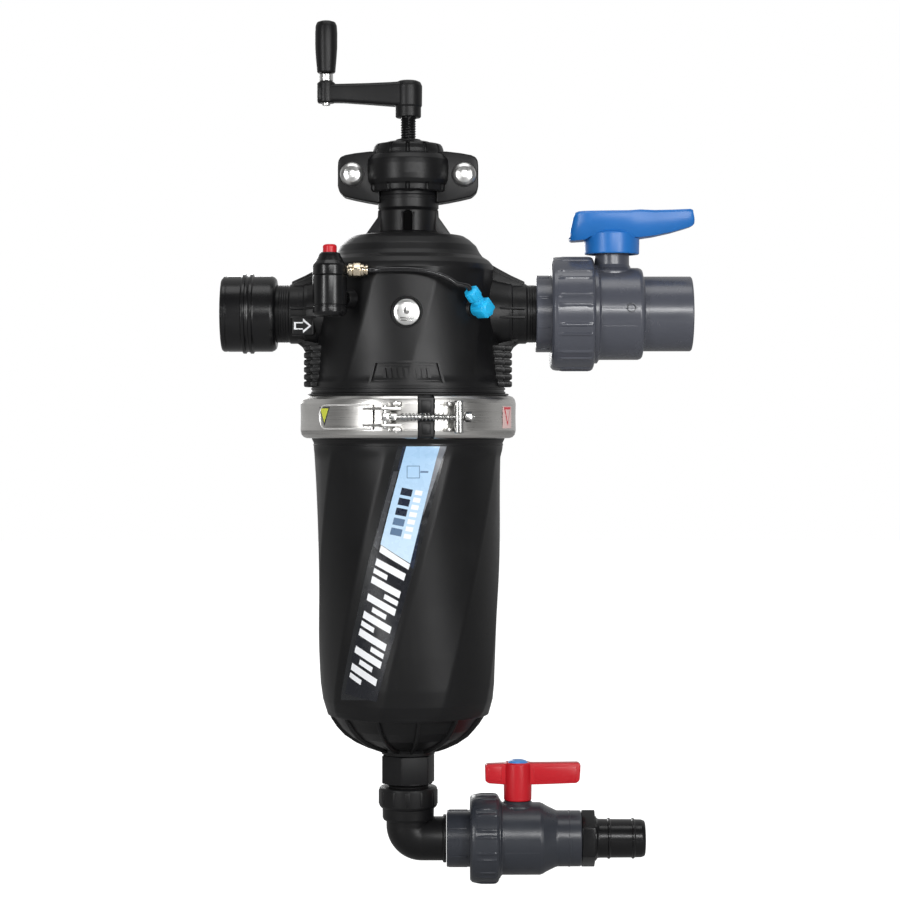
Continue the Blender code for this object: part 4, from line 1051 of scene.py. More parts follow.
def build_inlet():
    adapter = ring([
        (31.5, -191.3), (37.4, -191.3, .8), (38.9, -189.4, .8), (39.0, -186.4, .4),
        (38.5, -186.0, .2), (38.5, -185.3, .2), (39.0, -184.9, .3), (39.0, -170.6, .3),
        (40.8, -169.6, .4), (41.0, -169, .3), (41.0, -166.7, .4), (39.6, -166.0, .4),
        (39.2, -164.5, .4), (39.6, -162.6, .4), (41.0, -162.0, .4), (41.0, -159.2, .4),
        (39.4, -158.4, .4), (39.0, -157.4, .3), (39.0, -140.4, 1), (37.6, -137.2, 1.2),
        (35.6, -135.4, .8), (32.6, -134.9, .5), (30.1, -134.8), (30.1, -151), (24, -151),
        (24, -153.5), (31.5, -153.5)], 108, 0.4)
    stand_in("inlet_adapter", [place(adapter, "X")], BLACK_GLOSS)
    for side, name, end in ((-1, "inlet_port_thread", 134.4), (1, "outlet_port_thread", 130.8)):
        thread = place(screw(29.85, 28.9, 121.8, end, 2.31, 1.1, 96), "X")
        piece(name, [on_side(side, thread)], BLACK, slot="black_plastic")


def build_flow_arrow():
    """A raised arrow outline on the inlet port's front, over a plate."""
    outer = [(-115.6, -9.6), (-106.2, -9.6), (-106.2, -6.0), (-97.8, -13.4), (-106.2, -20.8),
             (-106.2, -17.2), (-115.6, -17.2)]
    middle = np.array([-107.5, -13.6])
    inner = [tuple(middle + (np.array(p) - middle) * np.array([0.74, 0.66])) for p in outer]
    bm = bmesh.new()
    verts = [bm.verts.new((x, y, z)) for y in (-34.15, -33.0) for x, z in outer + inner]
    n = len(outer)
    for i in range(n):
        j = (i + 1) % n
        for face in ((i, n + i, n + j, j), (2 * n + i, 2 * n + j, 3 * n + j, 3 * n + i),
                     (i, j, 2 * n + j, 2 * n + i), (n + i, 3 * n + i, 3 * n + j, n + j)):
            bm.faces.new([verts[k] for k in face])
    piece("flow_arrow", [finish(bm)], WHITE_INK, slot="white_plastic")
    piece("flow_arrow_plate", [box((-118.4, -33.6, -23.5), (-95.0, -24, -3.5), 2.0, 3)], BLACK,
          slot="black_plastic")


# ------------------------------------------------------------------ outlet valve


def union_nut(r, start, end, bore, mouth, mouth_end, rib_angles, rib_height, rib_width, n):
    """A nut with pairs of lengthwise grip ridges; rib_angles are one pair's, in degrees."""
    angles = np.radians(np.array([360 * g / 12 + a for g in range(12) for a in rib_angles]))
    rib_start, rib_end, rib_fade = start + 7, end - 1.6, 3.0

    def ridges(around_nut, radius, z):
        distance = np.abs((around_nut[:, None] - angles[None, :] + math.pi) % TAU - math.pi)
        fade = clip01((z - rib_start) / rib_fade) * clip01((rib_end - z) / rib_fade)
        bulge = clip01(1 - (distance.min(axis=1) / (rib_width / radius)) ** 2) ** 0.5
        return radius + rib_height * fade * bulge

    return ring([
        (mouth, start), (r - 3.2, start, 1), (r - 0.8, start + 2.2, 1.5), (r, start + 5.5, 1.5),
        (r, end - 3.2, 1), (r - 1.0, end - 1.2, 1), (r - 3.4, end, .8), (bore, end),
        (bore, mouth_end), (mouth, mouth_end - 2.2)], n, 0.4, step=3, reshape=ridges)


def parting_lines(r, heights, start, end, proud, half, bevel, centre_z=0):
    """Thin raised lines along the front of a tube that lies along X."""
    shapes = []
    for z in heights:
        y = -math.sqrt(r ** 2 - z * z)
        shapes.append(box((start, y - proud, centre_z + z - half),
                          (end, y + 3, centre_z + z + half), bevel, 1))
    return shapes


def build_outlet_union():
    connector = ring([
        (30.1, 131), (38.6, 131, .8), (39.5, 132, .6), (39.5, 151), (47, 153), (47, 160),
        (33, 160), (33, 180.6), (25, 180.6), (25, 151), (30.1, 151)], 72, 0.4)
    rib = box((-1.4, 38.6, 133.5), (1.4, 40.0, 144.6), 0.5)
    stand_in("outlet_end_connector", [place(connector, "X")] + around(rib, 8, 0.5, "X"), GREY,
             name="outlet_end_body")
    nut = union_nut(58.4, 146.5, 190.4, bore=52, mouth=40.2, mouth_end=152.4,
                    rib_angles=(13.3, 22.7), rib_height=1.25, rib_width=1.7, n=360)
    stand_in("outlet_union_nut", [place(nut, "X")], GREY)


def build_outlet_valve():
    body = ring([
        (34, 160.6), (51, 160.6, .5), (51, 194.2, .8), (49.0, 195.2, .5), (47.4, 196.4, .8),
        (47.3, 236.2, 1.5), (46.4, 238.8, 1.2), (44.8, 240.3, .8), (41.0, 240.9, .6),
        (39.0, 241.3, .4), (38.5, 242.0, .3), (38.5, 290.0, 1), (37.4, 291.2, .5), (31.6, 291.2),
        (31.6, 250.4), (25, 250.4), (25, 242.8), (34, 242.8)], 120, 0.4, step=8)
    neck = ring([(9.5, 36), (24, 36), (24, 43.5, 2), (19.6, 47.2, 2), (17.9, 50.5, 1),
                 (17.8, 62.0, .5), (17.2, 62.6), (9.5, 62.6)], 64)
    shapes = [place(body, "X"), place(neck, at=(OUTLET_STEM_X, 0, 0))]
    shapes += parting_lines(47.35, (4, -14), 197.5, 233, proud=0.3, half=0.5, bevel=0.2)
    # a moulded ring in darker grey: the dark colour is painted shade outlining it
    mark = ring([(3.7, 46.3), (4.7, 46.3), (4.7, 48.25, .3), (3.7, 48.25, .3)], 40, 0.1)
    piece("outlet_ring_painted_shade", [place(mark, "F", (226.5, 0, 4.4))], DARK_GREY)
    stand_in("outlet_valve_body", shapes, GREY, name="outlet_valve_shell")


def build_outlet_handle():
    # x, bottom, top, half width
    stations = [
        (165.8, 76.0, 79.5, 12), (166.8, 74.8, 88.0, 17), (168.8, 74.4, 97.0, 20),
        (171.2, 74.6, 102.6, 22.6), (174.6, 74.9, 103.9, 24.4), (181.0, 75.4, 104.2, 26.4),
        (187, 78.6, 104.3, 27.8), (209, 79.4, 104.5, 28.8), (226, 78.4, 104.7, 28.2),
        (237, 77.8, 105.7, 26.4), (252, 79.8, 105.4, 22.0), (269.9, 83.6, 106.2, 17.6),
        (284, 87.6, 107.0, 14.8), (289.6, 89.4, 107.3, 13.8), (292.2, 90.6, 106.4, 13.0),
        (293.8, 92.4, 99.0, 11.6)]
    sections = []
    for x, low, high, half in stations:
        right = [(half * 0.72, low), (half * 0.93, low + (high - low) * 0.3),
                 (half, low + (high - low) * 0.62), (half, high - 2.6), (half - 2.0, high)]
        section = [(-right[0][0], low)] + right + [(-y, z) for y, z in right[:0:-1]]
        sections.append([(x, y, z) for y, z in section])
    skirt = ring([
        (24.4, 61.2), (27.5, 61.2, .5), (28.1, 62.2, .5), (28.3, 72, 2), (28.4, 82.0, 1),
        (26.5, 84.0, 2), (20, 85, 1), (9.5, 85), (9.5, 70), (24.4, 68)], 80, 0.5)
    web = prism([(236, 80), (286, 90.5), (286, 96), (236, 96)], -1.5, 1.5, 0.5)
    stand_in("outlet_handle", [loft(sections, 1.2, 28), place(skirt, at=(OUTLET_STEM_X, 0, 0)),
                               web], BLUE, "outlet_lever", angle=35)


# ------------------------------------------------------------------ drain elbow and valve

BEND_R, ELBOW_R, ELBOW_BORE = 14.0, 22.5, 17.6


def elbow_corner():
    """A quarter turn of the tube's section about a line close inside the bend."""
    section = [(max(0.02, BEND_R + ELBOW_R * math.cos(a)), ELBOW_R * math.sin(a))
               for a in np.radians(np.linspace(128.4, -128.4, 44))]
    verts, faces = arc(section, 0, 92, 18, 0.0, 1)
    # turned onto the Y axis, then round it to join the two legs
    x, z, y = verts.T
    c, s = math.cos(math.radians(-91)), math.sin(math.radians(-91))
    verts = np.stack([x * c - z * s, y, x * s + z * c], 1)
    return verts + np.array([BEND_R, 0, DRAIN_Z + BEND_R]), [f[::-1] for f in faces]


def build_drain_elbow():
    down = ring([(ELBOW_BORE, -486.4), (ELBOW_R, -486.4), (ELBOW_R, -526.6),
                 (ELBOW_BORE, -526.6)], 64, 0.2)
    across = ring([(ELBOW_BORE, 13.4), (ELBOW_R, 13.4), (ELBOW_R, 39.2), (ELBOW_BORE, 39.2)],
                  64, 0.2)
    collar = ring([
        (21, -486.2), (28.4, -486.2, .8), (29.6, -487.4, .6), (29.8, -490), (29.8, -505.2, 1),
        (28.4, -507.2, .8), (26.6, -508.4, .6), (26.4, -518.0, .8), (25.2, -520.4, .6),
        (21, -520.4)], 72)
    end_collar = ring([(20, 35.6), (23.6, 35.6, .6), (24.6, 36.4, .5), (24.6, 39.2),
                       (20, 39.2)], 64)
    lug = box((-2.4, -30.4, -504.2), (2.4, -28, -489.0), 0.9)
    stand_in("drain_elbow", [down, place(across, "X", DRAIN_AT), elbow_corner(), collar,
                             place(end_collar, "X", DRAIN_AT)] + around(lug, 12), BLACK)


def build_drain_union():
    connector = ring([
        (23.2, 39.6), (28.4, 39.6, .6), (29, 40.4, .4), (29, 66.4), (37.5, 67.5), (37.5, 72),
        (26.4, 72), (26.4, 91), (18, 91), (18, 63), (23.2, 63)], 72, 0.3)
    rib = box((-1.2, 28.4, 42), (1.2, 29.7, 61), 0.4)
    stand_in("drain_end_connector",
             [place(connector, "X", DRAIN_AT)] + around(rib, 6, 0.5, "X", DRAIN_AT),
             DARK_GREY, name="drain_end_body")
    nut = union_nut(45.2, 63.6, 93.6, bore=42, mouth=29.9, mouth_end=66.6,
                    rib_angles=(10.3, 19.7), rib_height=1.1, rib_width=1.5, n=300)
    stand_in("drain_union_nut", [place(nut, "X", DRAIN_AT)], DARK_GREY)


def build_drain_valve():
    body = ring([
        (27, 72.6), (40.6, 72.6, .4), (40.6, 94.4, .6), (38.4, 95.4, .5), (37.1, 96.6, .8),
        (37.0, 135.4, 2), (35.8, 138.6, 2), (33.6, 142.2, 2), (30.6, 148.4, 1.5),
        (29.2, 151.4, .6), (28.6, 153.2, .6), (28.5, 176.6, .8), (27.6, 177.7, .5), (20.3, 177.7),
        (20.3, 152), (18, 152), (18, 139), (27, 139)], 96, 0.4, step=8)
    neck = ring([(7, -508), (19, -508), (18.8, -505.6, 1), (15.4, -503.2, 1.2),
                 (14.2, -501.6, .5), (13.8, -501.0, .3), (7, -501.0)], 56)
    shapes = [place(body, "X", DRAIN_AT), place(neck, at=(DRAIN_STEM_X, 0, 0))]
    shapes += parting_lines(37.05, (5, -9), 99, 134, proud=0.22, half=0.4, bevel=0.18,
                            centre_z=DRAIN_Z)
    end_bead = ring([(27.4, 164.4), (28.95, 164.8, .3), (28.95, 166.2, .3), (27.4, 166.6)],
                    72, 0.2)
    stand_in("drain_valve_body", shapes + [place(end_bead, "X", DRAIN_AT)], DARK_GREY,
             name="drain_valve_shell")


def build_drain_handle():
    """A bar with rounded ends and a round hub, which a cap closes."""
    bar = prism([
        (79.0, -464.6), (80.6, -463.1), (100, -462.4), (112, -461.9), (140, -461.9),
        (174.6, -461.5), (177.2, -463.4), (177.0, -470), (176.2, -479.6), (173.2, -482.3),
        (140, -483.6), (124, -484.0), (100, -484.0), (82.6, -482.7), (79.3, -480.2)],
        -6.5, 6.5, 2.0, 3)
    hub = ring([
        (10.8, -461.4), (12.9, -461.4, .6), (14.2, -462.6, .6), (14.4, -484.5, 1),
        (14.2, -499.6, .6), (13.4, -500.5, .4), (7, -500.5), (7, -473.6), (7, -466),
        (10.8, -464.0)], 64)
    plates = [prism([(x0, -480.6), (x1, -480.9), (x1, -465.2), (x0, -465.5)], -7.1, 7.1)
              for x0, x1 in ((82.5, 96), (129, 173))]
    stem_at = (DRAIN_STEM_X, 0, 0)
    stand_in("drain_handle", [bar, place(hub, at=stem_at)] + plates, RED, "drain_lever", angle=35)
    cap = lathe([(0, -458.6), (5, -458.75, 2), (8.6, -459.8, 1.5), (10.3, -461.6, .6),
                 (10.3, -463.6), (0, -463.6)], 56)
    stand_in("drain_handle_cap", [place(cap, at=stem_at)], BLUE_CAP, "drain_lever")


def build_hose_tail():
    tail = ring([
        (14.5, 158.4), (19.6, 158.4, .5), (19.8, 180), (19.8, 190), (22.8, 191.6, .3),
        (22.8, 193.0, .5), (20.4, 194.4, .6), (19.9, 196.0, .4), (19.8, 204.6, .3),
        (20.9, 205.4, .3), (20.9, 207.0, .3), (19.7, 208.0, .3), (19.6, 229.6, .3),
        (20.7, 230.4, .3), (20.7, 232.0, .3), (19.5, 233.0, .3), (19.3, 239.6, 1),
        (18.2, 242.6, 1), (16.8, 243.6, .3), (14.5, 243.6)], 96, 0.3, step=4)
    stand_in("drain_hose_tail", [place(shape, "X", DRAIN_AT) for shape in
                                 (tail, hexagon(51, 178.2, 191.8, 1.0))], BLACK_GLOSS)


# ------------------------------------------------------------------ clamp, built with its gap at -Y

BAND_TOP, BAND_BOTTOM, CLAMP_Z = -84.5, -127.7, -106.1
HINGE_Y = 116.0
ROD_Y, LEVER_X, TOGGLE_X, TRUNNION_X = -119.5, -31.5, -42.5, 31.0
ROD_AT = (0, ROD_Y, CLAMP_Z)
LEVER_AT = (LEVER_X, ROD_Y, 0)
LEVER_TOP, LEVER_BOTTOM, LEVER_R = -93.4, -118.8, 112.8
LEVER_MIDDLE, LEVER_HALF = (LEVER_TOP + LEVER_BOTTOM) / 2, (LEVER_TOP - LEVER_BOTTOM) / 2


def band_profile():
    """The channel's section, listed outside then inside."""
    top, bottom = BAND_TOP, BAND_BOTTOM
    return [
        (102.2, top + .1, .4), (104.6, top, .6), (107.4, top - 1.0, 1.5), (109.7, top - 3.6, 2),
        (110.7, top - 8.0, 3), (110.5, -101, 6), (110.4, CLAMP_Z, 6), (110.5, -111.2, 6),
        (110.7, bottom + 8.0, 3), (109.7, bottom + 3.6, 2), (107.4, bottom + 1.0, 1.5),
        (104.6, bottom, .6), (102.2, bottom - .1, .4), (102.0, bottom + 0.9, .3),
        (104.2, bottom + 1.4, .5), (106.6, bottom + 3.2, 1), (108.4, bottom + 7.4, 2),
        (108.6, CLAMP_Z, 5), (108.4, top - 7.4, 2), (106.6, top - 3.2, 1), (104.2, top - 1.4, .5),
        (102.0, top - 0.9, .3)]


def build_bands():
    bracket = [(110.4, -91.3), (111.9, -91.3), (111.9, -120.9), (110.4, -120.9)]
    left_ear = [(-37.2, -103.6), (-37.4, -121.5), (-35.2, -124.6), (-28.0, -124.6),
                (-26.0, -122.4), (-25.2, -106.4)]
    right_ear = [(18, -107.6), (18, -123.6), (19.2, -125.4), (21.2, -125.4), (24.8, -119.5),
                 (25.6, -113.6), (36, -112.6), (38, -103)]
    # word, side, hinge knuckles (top, bottom), bracket (start, end, segments), ear outline
    sides = (("left", -1, [(-100.4, -111.8)], (-20.0, -13.5, 8), left_ear),
             ("right", 1, [(-92, -100), (-112.2, -120.4)], (9.2, 22.0, 10), right_ear))
    for word, side, knuckles, bracket_span, ear in sides:
        shapes = [arc(band_profile(), *sorted((4.5 * side, 171.5 * side)), 150)]
        for top, bottom in knuckles:
            knuckle = ring([(2.6, bottom), (5.1, bottom, .4), (5.1, top, .4), (2.6, top)], 32, 0.3)
            leaf = [(109.2, top - 0.4), (111.0, top - 0.4), (111.0, bottom + 0.4),
                    (109.2, bottom + 0.4)]
            web = [(3.0 * side, HINGE_Y - 4.0), (8.5 * side, 109.0), (8.5 * side, 111.0),
                   (3.4 * side, HINGE_Y - 1.0)]
            shapes += [place(knuckle, at=(0, HINGE_Y, 0)),
                       arc(leaf, *sorted((169 * side, 176.6 * side)), 10, 0.3, 1),
                       prism(web, bottom + 0.5, top - 0.5, 0.3, 1, "Z")]
        shapes.append(arc(bracket, *bracket_span, 0.4, 1))
        for top, bottom in ((-91.5, -95.2), (-117, -120.7)):
            shapes.append(prism(ear, bottom, top, 0.5, 2, "Z"))
        band = stand_in("clamp_band_" + word, shapes, BAND, "clamp_" + word,
                        name="clamp_band_body_" + word, turn=CLAMP_TURN)
        if side < 0:
            for top, bottom in ((-90, -97), (-116, -122)):
                carve(band, place(rod(2.55, top, bottom, 28, 0), at=LEVER_AT), CLAMP_TURN)
    pin = lathe([
        (0, -89.4), (3.2, -89.6, .6), (3.4, -91.2, .3), (2.3, -91.6), (2.3, -121.4),
        (3.4, -121.6, .3), (3.2, -122.8, .6), (0, -123)], 32, 0.2)
    stand_in("clamp_hinge_pin", [place(pin, at=(0, HINGE_Y, 0))], HARD, name="clamp_pin_body",
             turn=CLAMP_TURN)


def lever_end(z, inset=0.0):
    """Azimuth of the lever's rounded free end at a height."""
    inside = max(0.0, 1 - ((z - LEVER_MIDDLE) / (LEVER_HALF - inset)) ** 2)
    return math.radians(-60.5 + inset / 1.97 + (1 - math.sqrt(inside)) * 4.4)


def build_lever():
    """A curved plate with a rounded free end and a rolled border whose pale steel is a painted
    highlight.
    """
    heights = LEVER_MIDDLE + LEVER_HALF * np.sin(np.linspace(math.pi / 2, -math.pi / 2, 29)) * 0.9995
    shapes = [curved_plate(lambda z: LEVER_R, lever_end, lambda z: math.radians(-27.4), heights,
                           0.0, 1.6, 40)]
    inset = 0.9
    half = LEVER_HALF - inset
    outline_points = [(math.radians(a), LEVER_MIDDLE + half) for a in np.linspace(-27.8, -56, 24)]
    for z in LEVER_MIDDLE + half * np.sin(np.linspace(math.pi / 2, -math.pi / 2, 41)):
        outline_points.append((lever_end(z, inset), z))
    outline_points += [(math.radians(a), LEVER_MIDDLE - half) for a in np.linspace(-56, -27.8, 24)]
    border_r = LEVER_R + 1.5
    path = [(border_r * math.sin(a), -border_r * math.cos(a), z) for a, z in outline_points]
    # the rolled border is real; its pale steel paints the highlight along it
    piece("lever_border", [sweep(path, 0.95, 8)], BORDER_HIGHLIGHT_STEEL, "latch_lever", turn=CLAMP_TURN)
    tab = [(-27.4, -123.6), (-27.4, -117.0), (-42, -113.8), (-53, -101.6), (-60, -96.8),
           (-62.0, -98.2), (-55, -110), (-50, -117.4), (-46.5, -123.6)]
    # tab top and bottom, then its pivot's bottom and top
    for top, bottom, pin_low, pin_high in ((-96.6, -99.2, -98.4, -90.2),
                                           (-113, -115.6, -122.0, -113.8)):
        shapes.append(prism(tab, bottom, top, 0.4, 2, "Z"))
        pivot = lathe([(0, pin_high), (2.0, pin_high - 0.1, .3), (2.2, pin_high - 0.5),
                       (2.2, pin_low), (0, pin_low)], 28, 0.2)
        shapes.append(place(pivot, at=LEVER_AT))
    stand_in("clamp_lever", shapes, BAND, "latch_lever", angle=40, turn=CLAMP_TURN,
             spare=(YELLOW_INK, DARK_INK))


def triangle(name, azimuth, r, middle_z, width, height, inner, outer, material, body):
    """A flat mark that points down, on a turned surface."""
    def half(z):
        rise = (z - (middle_z - height / 2)) / height
        return (width / 2) * max(rise, 0.02) / r
    heights = np.linspace(middle_z + height / 2, middle_z - height / 2, 15)
    mark = curved_plate(lambda z: r, lambda z: azimuth - half(z), lambda z: azimuth + half(z),
                        heights, inner, outer, 6)
    piece(name, [mark], material, body, turn=CLAMP_TURN)


def build_marks():
    """Two-tone triangles on the lever and, over a patch, on the right band."""
    on_lever = (math.radians(-56.2), 114.42)
    azimuth, r = on_band = (math.radians(55.4), 110.75)
    triangle("lever_mark_border", *on_lever, -105.4, 15.5, 18.5, 0.02, 0.22, DARK_INK,
             "latch_lever")
    triangle("lever_mark", *on_lever, -104.6, 12.0, 14.0, 0.24, 0.42, YELLOW_INK, "latch_lever")
    patch = curved_plate(lambda z: r, lambda z: azimuth - 0.10, lambda z: azimuth + 0.10,
                         np.linspace(-95.4, -117.6, 9), 0.05, 0.2, 10)
    piece("band_mark_patch", [patch], PINK, "clamp_right", turn=CLAMP_TURN)
    triangle("band_mark_border", *on_band, -105.4, 17, 18.5, 0.22, 0.40, RED_INK, "clamp_right")
    triangle("band_mark", *on_band, -104.8, 11.6, 12.6, 0.42, 0.58, PINK, "clamp_right")


def build_draw_bolt():
    def part(name, shapes):
        return stand_in(name, shapes, HARD, "draw_bolt", turn=CLAMP_TURN)

    head = lathe([(0, -94.4), (1.9, -94.5, .3), (2.2, -94.9), (2.2, -117.3), (1.9, -117.7, .3),
                  (0, -117.8)], 28, 0.2)
    part("clamp_tbolt", [
        place(screw(2.45, 0.05, -8.0, 46.2, 1.0, 0.38, 24), "X", ROD_AT),
        place(rod(2.2, -7.6, -40, 24), "X", ROD_AT),
        place(head, at=(TOGGLE_X, ROD_Y, 0)),
        box((-45.7, -122.3, -110.1), (-38.7, -116.7, -102.1), 0.9),
        place(hexagon(10.64, -37.6, -32.2, 0.4), "X", ROD_AT)])
    trunnion = lathe([(0, -89.8), (4.2, -90.0, .6), (5, -91, .5), (5, -121.2, .5),
                      (4.2, -122.2, .6), (0, -122.4)], 40)
    ob = part("clamp_trunnion", [place(trunnion, at=(TRUNNION_X, ROD_Y, 0))])
    carve(ob, place(rod(2.75, 20, 42, 24, 0), "X", ROD_AT), CLAMP_TURN)
    ob = part("clamp_nut", [place(hexagon(5.2 * math.sqrt(3), 36.8, 43.8, 0.5), "X", ROD_AT)])
    carve(ob, place(rod(2.75, 30, 50, 24, 0), "X", ROD_AT), CLAMP_TURN)
    turns, start, end, coil_r = 14, -26.4, 25.0, 3.45
    steps = turns * 14
    path = [(start + (end - start) * k / steps, ROD_Y + coil_r * math.cos(TAU * k / 14),
             CLAMP_Z + coil_r * math.sin(TAU * k / 14)) for k in range(steps + 1)]
    part("clamp_spring", [sweep(path, 0.5, 7)])


# ------------------------------------------------------------------ label


def label_left(z):
    return np.radians(np.interp(z, [-392, -368, -306, -247, -235, -185, -135],
                                [-45.0, -40.4, -28.9, -18.8, -16.6, -8.4, -0.1]))


def label_right(z):
    return np.radians(np.interp(z, [-392, -387, -324, -263, -254, -193, -135],
                                [-23.0, -22.0, -10.4, -0.1, 1.8, 11.0, 19.8]))


def blend(pair, t):
    return pair[0] + (pair[1] - pair[0]) * t


def panel(name, left, right, top, bottom, inner, outer, material, across, down):
    """Part of the label. left and right are 0 to 1 across it, or a (top, bottom) pair of such;
    top and bottom are heights, or (left, right) pairs; inner and outer are above the bowl."""
    left, right, top, bottom = (np.broadcast_to(v, 2) for v in (left, right, top, bottom))
    verts = []
    for offset in (outer, inner):
        for j in range(down + 1):
            v = j / down
            for i in range(across + 1):
                t = i / across
                u = blend((blend(left, v), blend(right, v)), t)
                z = blend((blend(top, t), blend(bottom, t)), v)
                a = float(blend((label_left(z), label_right(z)), u))
                depth = flute_depth(a, z, depth=2.1, top=-137, bottom=-408, fade_top=12,
                                    fade_bottom=5)
                r = float(bowl_radius(z) - depth) + offset
                verts.append((r * math.sin(a), -r * math.cos(a), z))
    piece(name, [(np.array(verts), plate_faces(across, down))], material)


def build_label():
    for row in (
        ("film", (-0.24, -0.20), (1.24, 1.10), -133.4, (-391, -388), 0.10, 0.22, CLEAR_EDGE, 24, 90),
        ("margin_right", 1.0, (1.22, 1.02), -134, (-205, -207), 0.24, 0.32, PALE_EDGE, 4, 30),
        ("margin_left", (-0.17, -0.20), -0.04, -160, (-234, -238), 0.24, 0.32, GREY_EDGE, 3, 30),
        ("sky", 0.0, 1.0, -134, (-232.6, -251.4), 0.26, 0.36, SKY, 16, 44),
        ("top_edge", (-0.10, -0.07), 0.0, -134, (-158, -159), 0.26, 0.36, NAVY, 3, 12),
        ("navy_right", 1.0, (1.02, 1.13), (-196, -202), (-254, -257), 0.26, 0.36, NAVY, 3, 24),
        ("stripe", 0.02, 1.0, (-233.4, -252.2), (-240.2, -257.6), 0.26, 0.36, WHITE_INK, 16, 3),
        ("ground", -0.05, 1.13, (-241.4, -259.8), (-384, -390), 0.26, 0.34, INK_GROUND, 18, 60),
    ):
        panel("label_" + row[0], *row[1:])

    def strip(name, left, right, top, drop, height, outer, material, across, down):
        """A panel whose top falls by drop from left to right."""
        panel("label_" + name, left, right, (top, top - drop), (top - height, top - drop - height),
              0.36, outer, material, across, down)

    # slanted bars, long and short
    bar_end, slope = 0.97, 15.4
    for k in range(7):
        z = -246.4 - 17.6 * k
        strip(f"bar_{k}a", 0.0, bar_end, z, slope, 6.8, 0.44, WHITE_INK, 14, 3)
        left, right = ((0.0, 0.46), (0.51, bar_end), (0.24, 0.73))[k % 3]
        strip(f"bar_{k}b", left, right, z - 9.7 - slope * left / bar_end,
              slope * (right - left) / bar_end, 4.9, 0.44, WHITE_INK, 8, 3)
    # dashes on the pale part, in two columns
    for k in range(7):
        strip(f"dash_w{k}", 0.62, 0.84, -178.5 - 7.2 * k, 1.2, 4.6, 0.42, WHITE_INK, 5, 4)
    for k in range(5):
        strip(f"dash_n{k}", 0.20, 0.54, -176 - 9.9 * k, 2.2, 7.0, 0.42, NAVY if k < 3 else SLATE,
              6, 4)
    # a small outlined box with a dash beside it
    box_top, box_bottom, lean = -154.4, -166.2, 0.10
    for k, top in enumerate((box_top, box_bottom)):
        strip(f"box_h{k}", 0.17 + lean * k, 0.55 + lean * k, top, 0, 0.7, 0.41, SLATE, 6, 1)
    for k, u in enumerate((0.17, 0.535)):
        strip(f"box_v{k}", (u, u + lean), (u + 0.02, u + 0.02 + lean), box_top, 0, 12.5, 0.41,
              SLATE, 1, 8)
    strip("box_dash", 0.62, 0.86, -159.6, 0.2, 1.8, 0.41, SLATE, 4, 2)


for build in (
        build_head, build_bowl, build_drain_nipple, build_crank, build_shaft, build_bonnet,
        build_coupling, build_badge, build_indicator, build_sensing_tube, build_inlet,
        build_flow_arrow, build_outlet_union, build_outlet_valve, build_outlet_handle,
        build_drain_elbow, build_drain_union, build_drain_valve, build_drain_handle,
        build_hose_tail, build_bands, build_lever, build_marks, build_draw_bolt, build_label):
    build()

# ------------------------------------------------------------------ CAD pieces that stay

KEPT = {
    RUBBER: ("head_o_ring", "shaft_seal", "coupling_gasket"),
    BLACK_MATT: ("drain_sleeve",),
    NYLON: ("inlet_manifold", "screen_cage", "screen_bottom_cap", "collector_guide_ring",
            "collector", "outlet_ball", "drain_ball"),
    MESH: ("screen_mesh",),
    BRASS: ("lead_nut",),
    GREY: ("outlet_stem",),
    DARK_GREY: ("drain_stem",),
}
for kept_material, part_names in KEPT.items():
    for part_name in part_names:
        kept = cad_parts[part_name]
        if not kept.material_slots:
            kept.data.materials.append(kept_material)
        for material_slot in kept.material_slots:
            material_slot.material = kept_material

# ------------------------------------------------------------------ floor, light and camera, metres

FLOOR_HALF, FLOOR_Z = 7.0, -0.004
FLOOR_GREY, FLOOR_ROUGHNESS = 0.30, 0.7
FLOOR_GLOW, FLOOR_GLOW_SEEN = 0.10, 0.97   # emission as light, and as the camera sees it
WORLD_FRONT, WORLD_BACK = 0.11, 0.55       # background strength in front and behind
# name, place, target, width, height, power
LIGHTS = [
    ("key_right", (1.15, -1.75, 0.72), (0, 0, 0.50), 0.34, 1.1, 19),
    ("key_left", (-1.25, -1.55, 0.72), (0, 0, 0.50), 0.30, 1.1, 16),
    ("front", (0.42, -2.30, 1.02), (0.05, 0, 0.60), 1.1, 0.30, 19),
    ("top", (0.0, -0.30, 1.9), (0, 0, 0.5), 1.2, 0.6, 6),
    ("behind", (-0.7, 2.6, 1.1), (0, 0, 0.5), 0.9, 1.0, 16),
]
CAMERA_DISTANCE, VIEW_WIDTH, SENSOR_WIDTH = 2.5, 0.927, 36.0
scene = bpy.context.scene


def seen_by_camera(tree, other, seen, target):
    """Feeds one value to camera rays and another to the rest; other may be an output."""
    path = tree.nodes.new("ShaderNodeLightPath")
    mix = tree.nodes.new("ShaderNodeMix")
    mix.data_type = "FLOAT"
    mix.inputs[3].default_value = seen
    tree.links.new(path.outputs["Is Camera Ray"], mix.inputs[0])
    if hasattr(other, "links"):
        tree.links.new(other, mix.inputs[2])
    else:
        mix.inputs[2].default_value = other
    tree.links.new(mix.outputs[0], target)


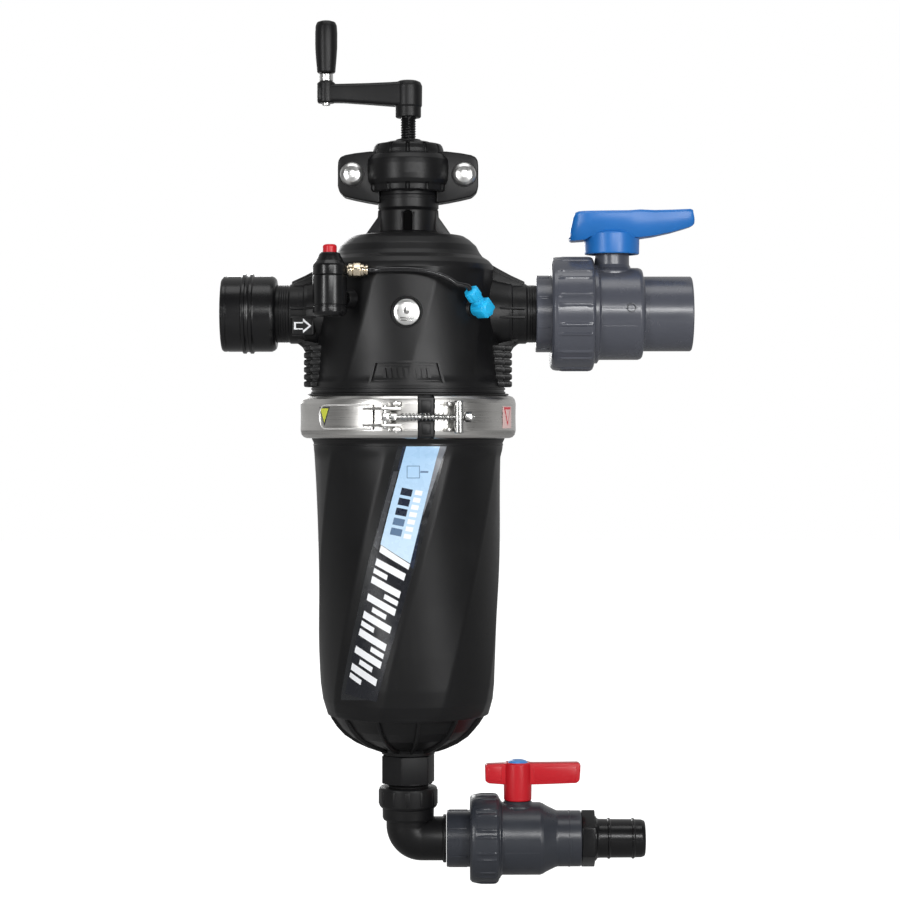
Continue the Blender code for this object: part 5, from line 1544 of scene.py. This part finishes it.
def build_floor():
    material = bpy.data.materials.new("pale_floor")
    material.use_nodes = True
    surface = material.node_tree.nodes["Principled BSDF"].inputs
    surface["Base Color"].default_value = (FLOOR_GREY, FLOOR_GREY, FLOOR_GREY, 1)
    surface["Roughness"].default_value = FLOOR_ROUGHNESS
    surface["Emission Color"].default_value = (1, 1, 1, 1)
    seen_by_camera(material.node_tree, FLOOR_GLOW, FLOOR_GLOW_SEEN, surface["Emission Strength"])
    mesh = bpy.data.meshes.new("floor")
    verts = [(x, y, FLOOR_Z) for x in (-FLOOR_HALF, FLOOR_HALF)
             for y in (-FLOOR_HALF, 0.0, FLOOR_HALF)]
    mesh.from_pydata(verts, [], [(0, 1, 4, 3), (1, 2, 5, 4)])
    mesh.shade_smooth()
    mesh.materials.append(material)
    floor = bpy.data.objects.new("floor", mesh)
    scene.collection.objects.link(floor)


def build_world():
    """White to the camera; to other rays, bright behind the filter and dim in front of it."""
    if scene.world is None:
        scene.world = bpy.data.worlds.new("studio")
    scene.world.use_nodes = True
    tree = scene.world.node_tree
    background = tree.nodes.get("Background") or tree.nodes.new("ShaderNodeBackground")
    coords = tree.nodes.new("ShaderNodeTexCoord")
    split = tree.nodes.new("ShaderNodeSeparateXYZ")
    strength = tree.nodes.new("ShaderNodeMapRange")
    for key, value in (("From Min", -0.25), ("From Max", 0.35), ("To Min", WORLD_FRONT),
                       ("To Max", WORLD_BACK)):
        strength.inputs[key].default_value = value
    strength.interpolation_type = "SMOOTHSTEP"
    tree.links.new(coords.outputs["Generated"], split.inputs[0])
    tree.links.new(split.outputs["Y"], strength.inputs["Value"])
    seen_by_camera(tree, strength.outputs["Result"], 1.0, background.inputs["Strength"])
    background.inputs["Color"].default_value = (1, 1, 1, 1)


def softbox(name, at, target, width, height, power):
    light = bpy.data.lights.new(name, "AREA")
    light.shape = "RECTANGLE"
    light.size, light.size_y, light.energy = width, height, power
    ob = bpy.data.objects.new(name, light)
    ob.location = at
    ob.rotation_euler = (Vector(target) - Vector(at)).to_track_quat("-Z", "Y").to_euler()
    scene.collection.objects.link(ob)


def build_camera():
    camera = bpy.data.cameras.new("camera")
    camera.lens = CAMERA_DISTANCE * SENSOR_WIDTH / VIEW_WIDTH
    camera.sensor_width, camera.shift_y, camera.clip_start = SENSOR_WIDTH, -0.0357, 0.05
    ob = bpy.data.objects.new("camera", camera)
    ob.location = (ORIGIN[0] + 0.043, ORIGIN[1] - CAMERA_DISTANCE, ORIGIN[2] - 0.107)
    ob.rotation_euler = (math.pi / 2, 0, 0)
    scene.collection.objects.link(ob)
    scene.camera = ob


build_floor()
build_world()
for light_row in LIGHTS:
    softbox(*light_row)
build_camera()
scene.view_settings.view_transform = "Standard"
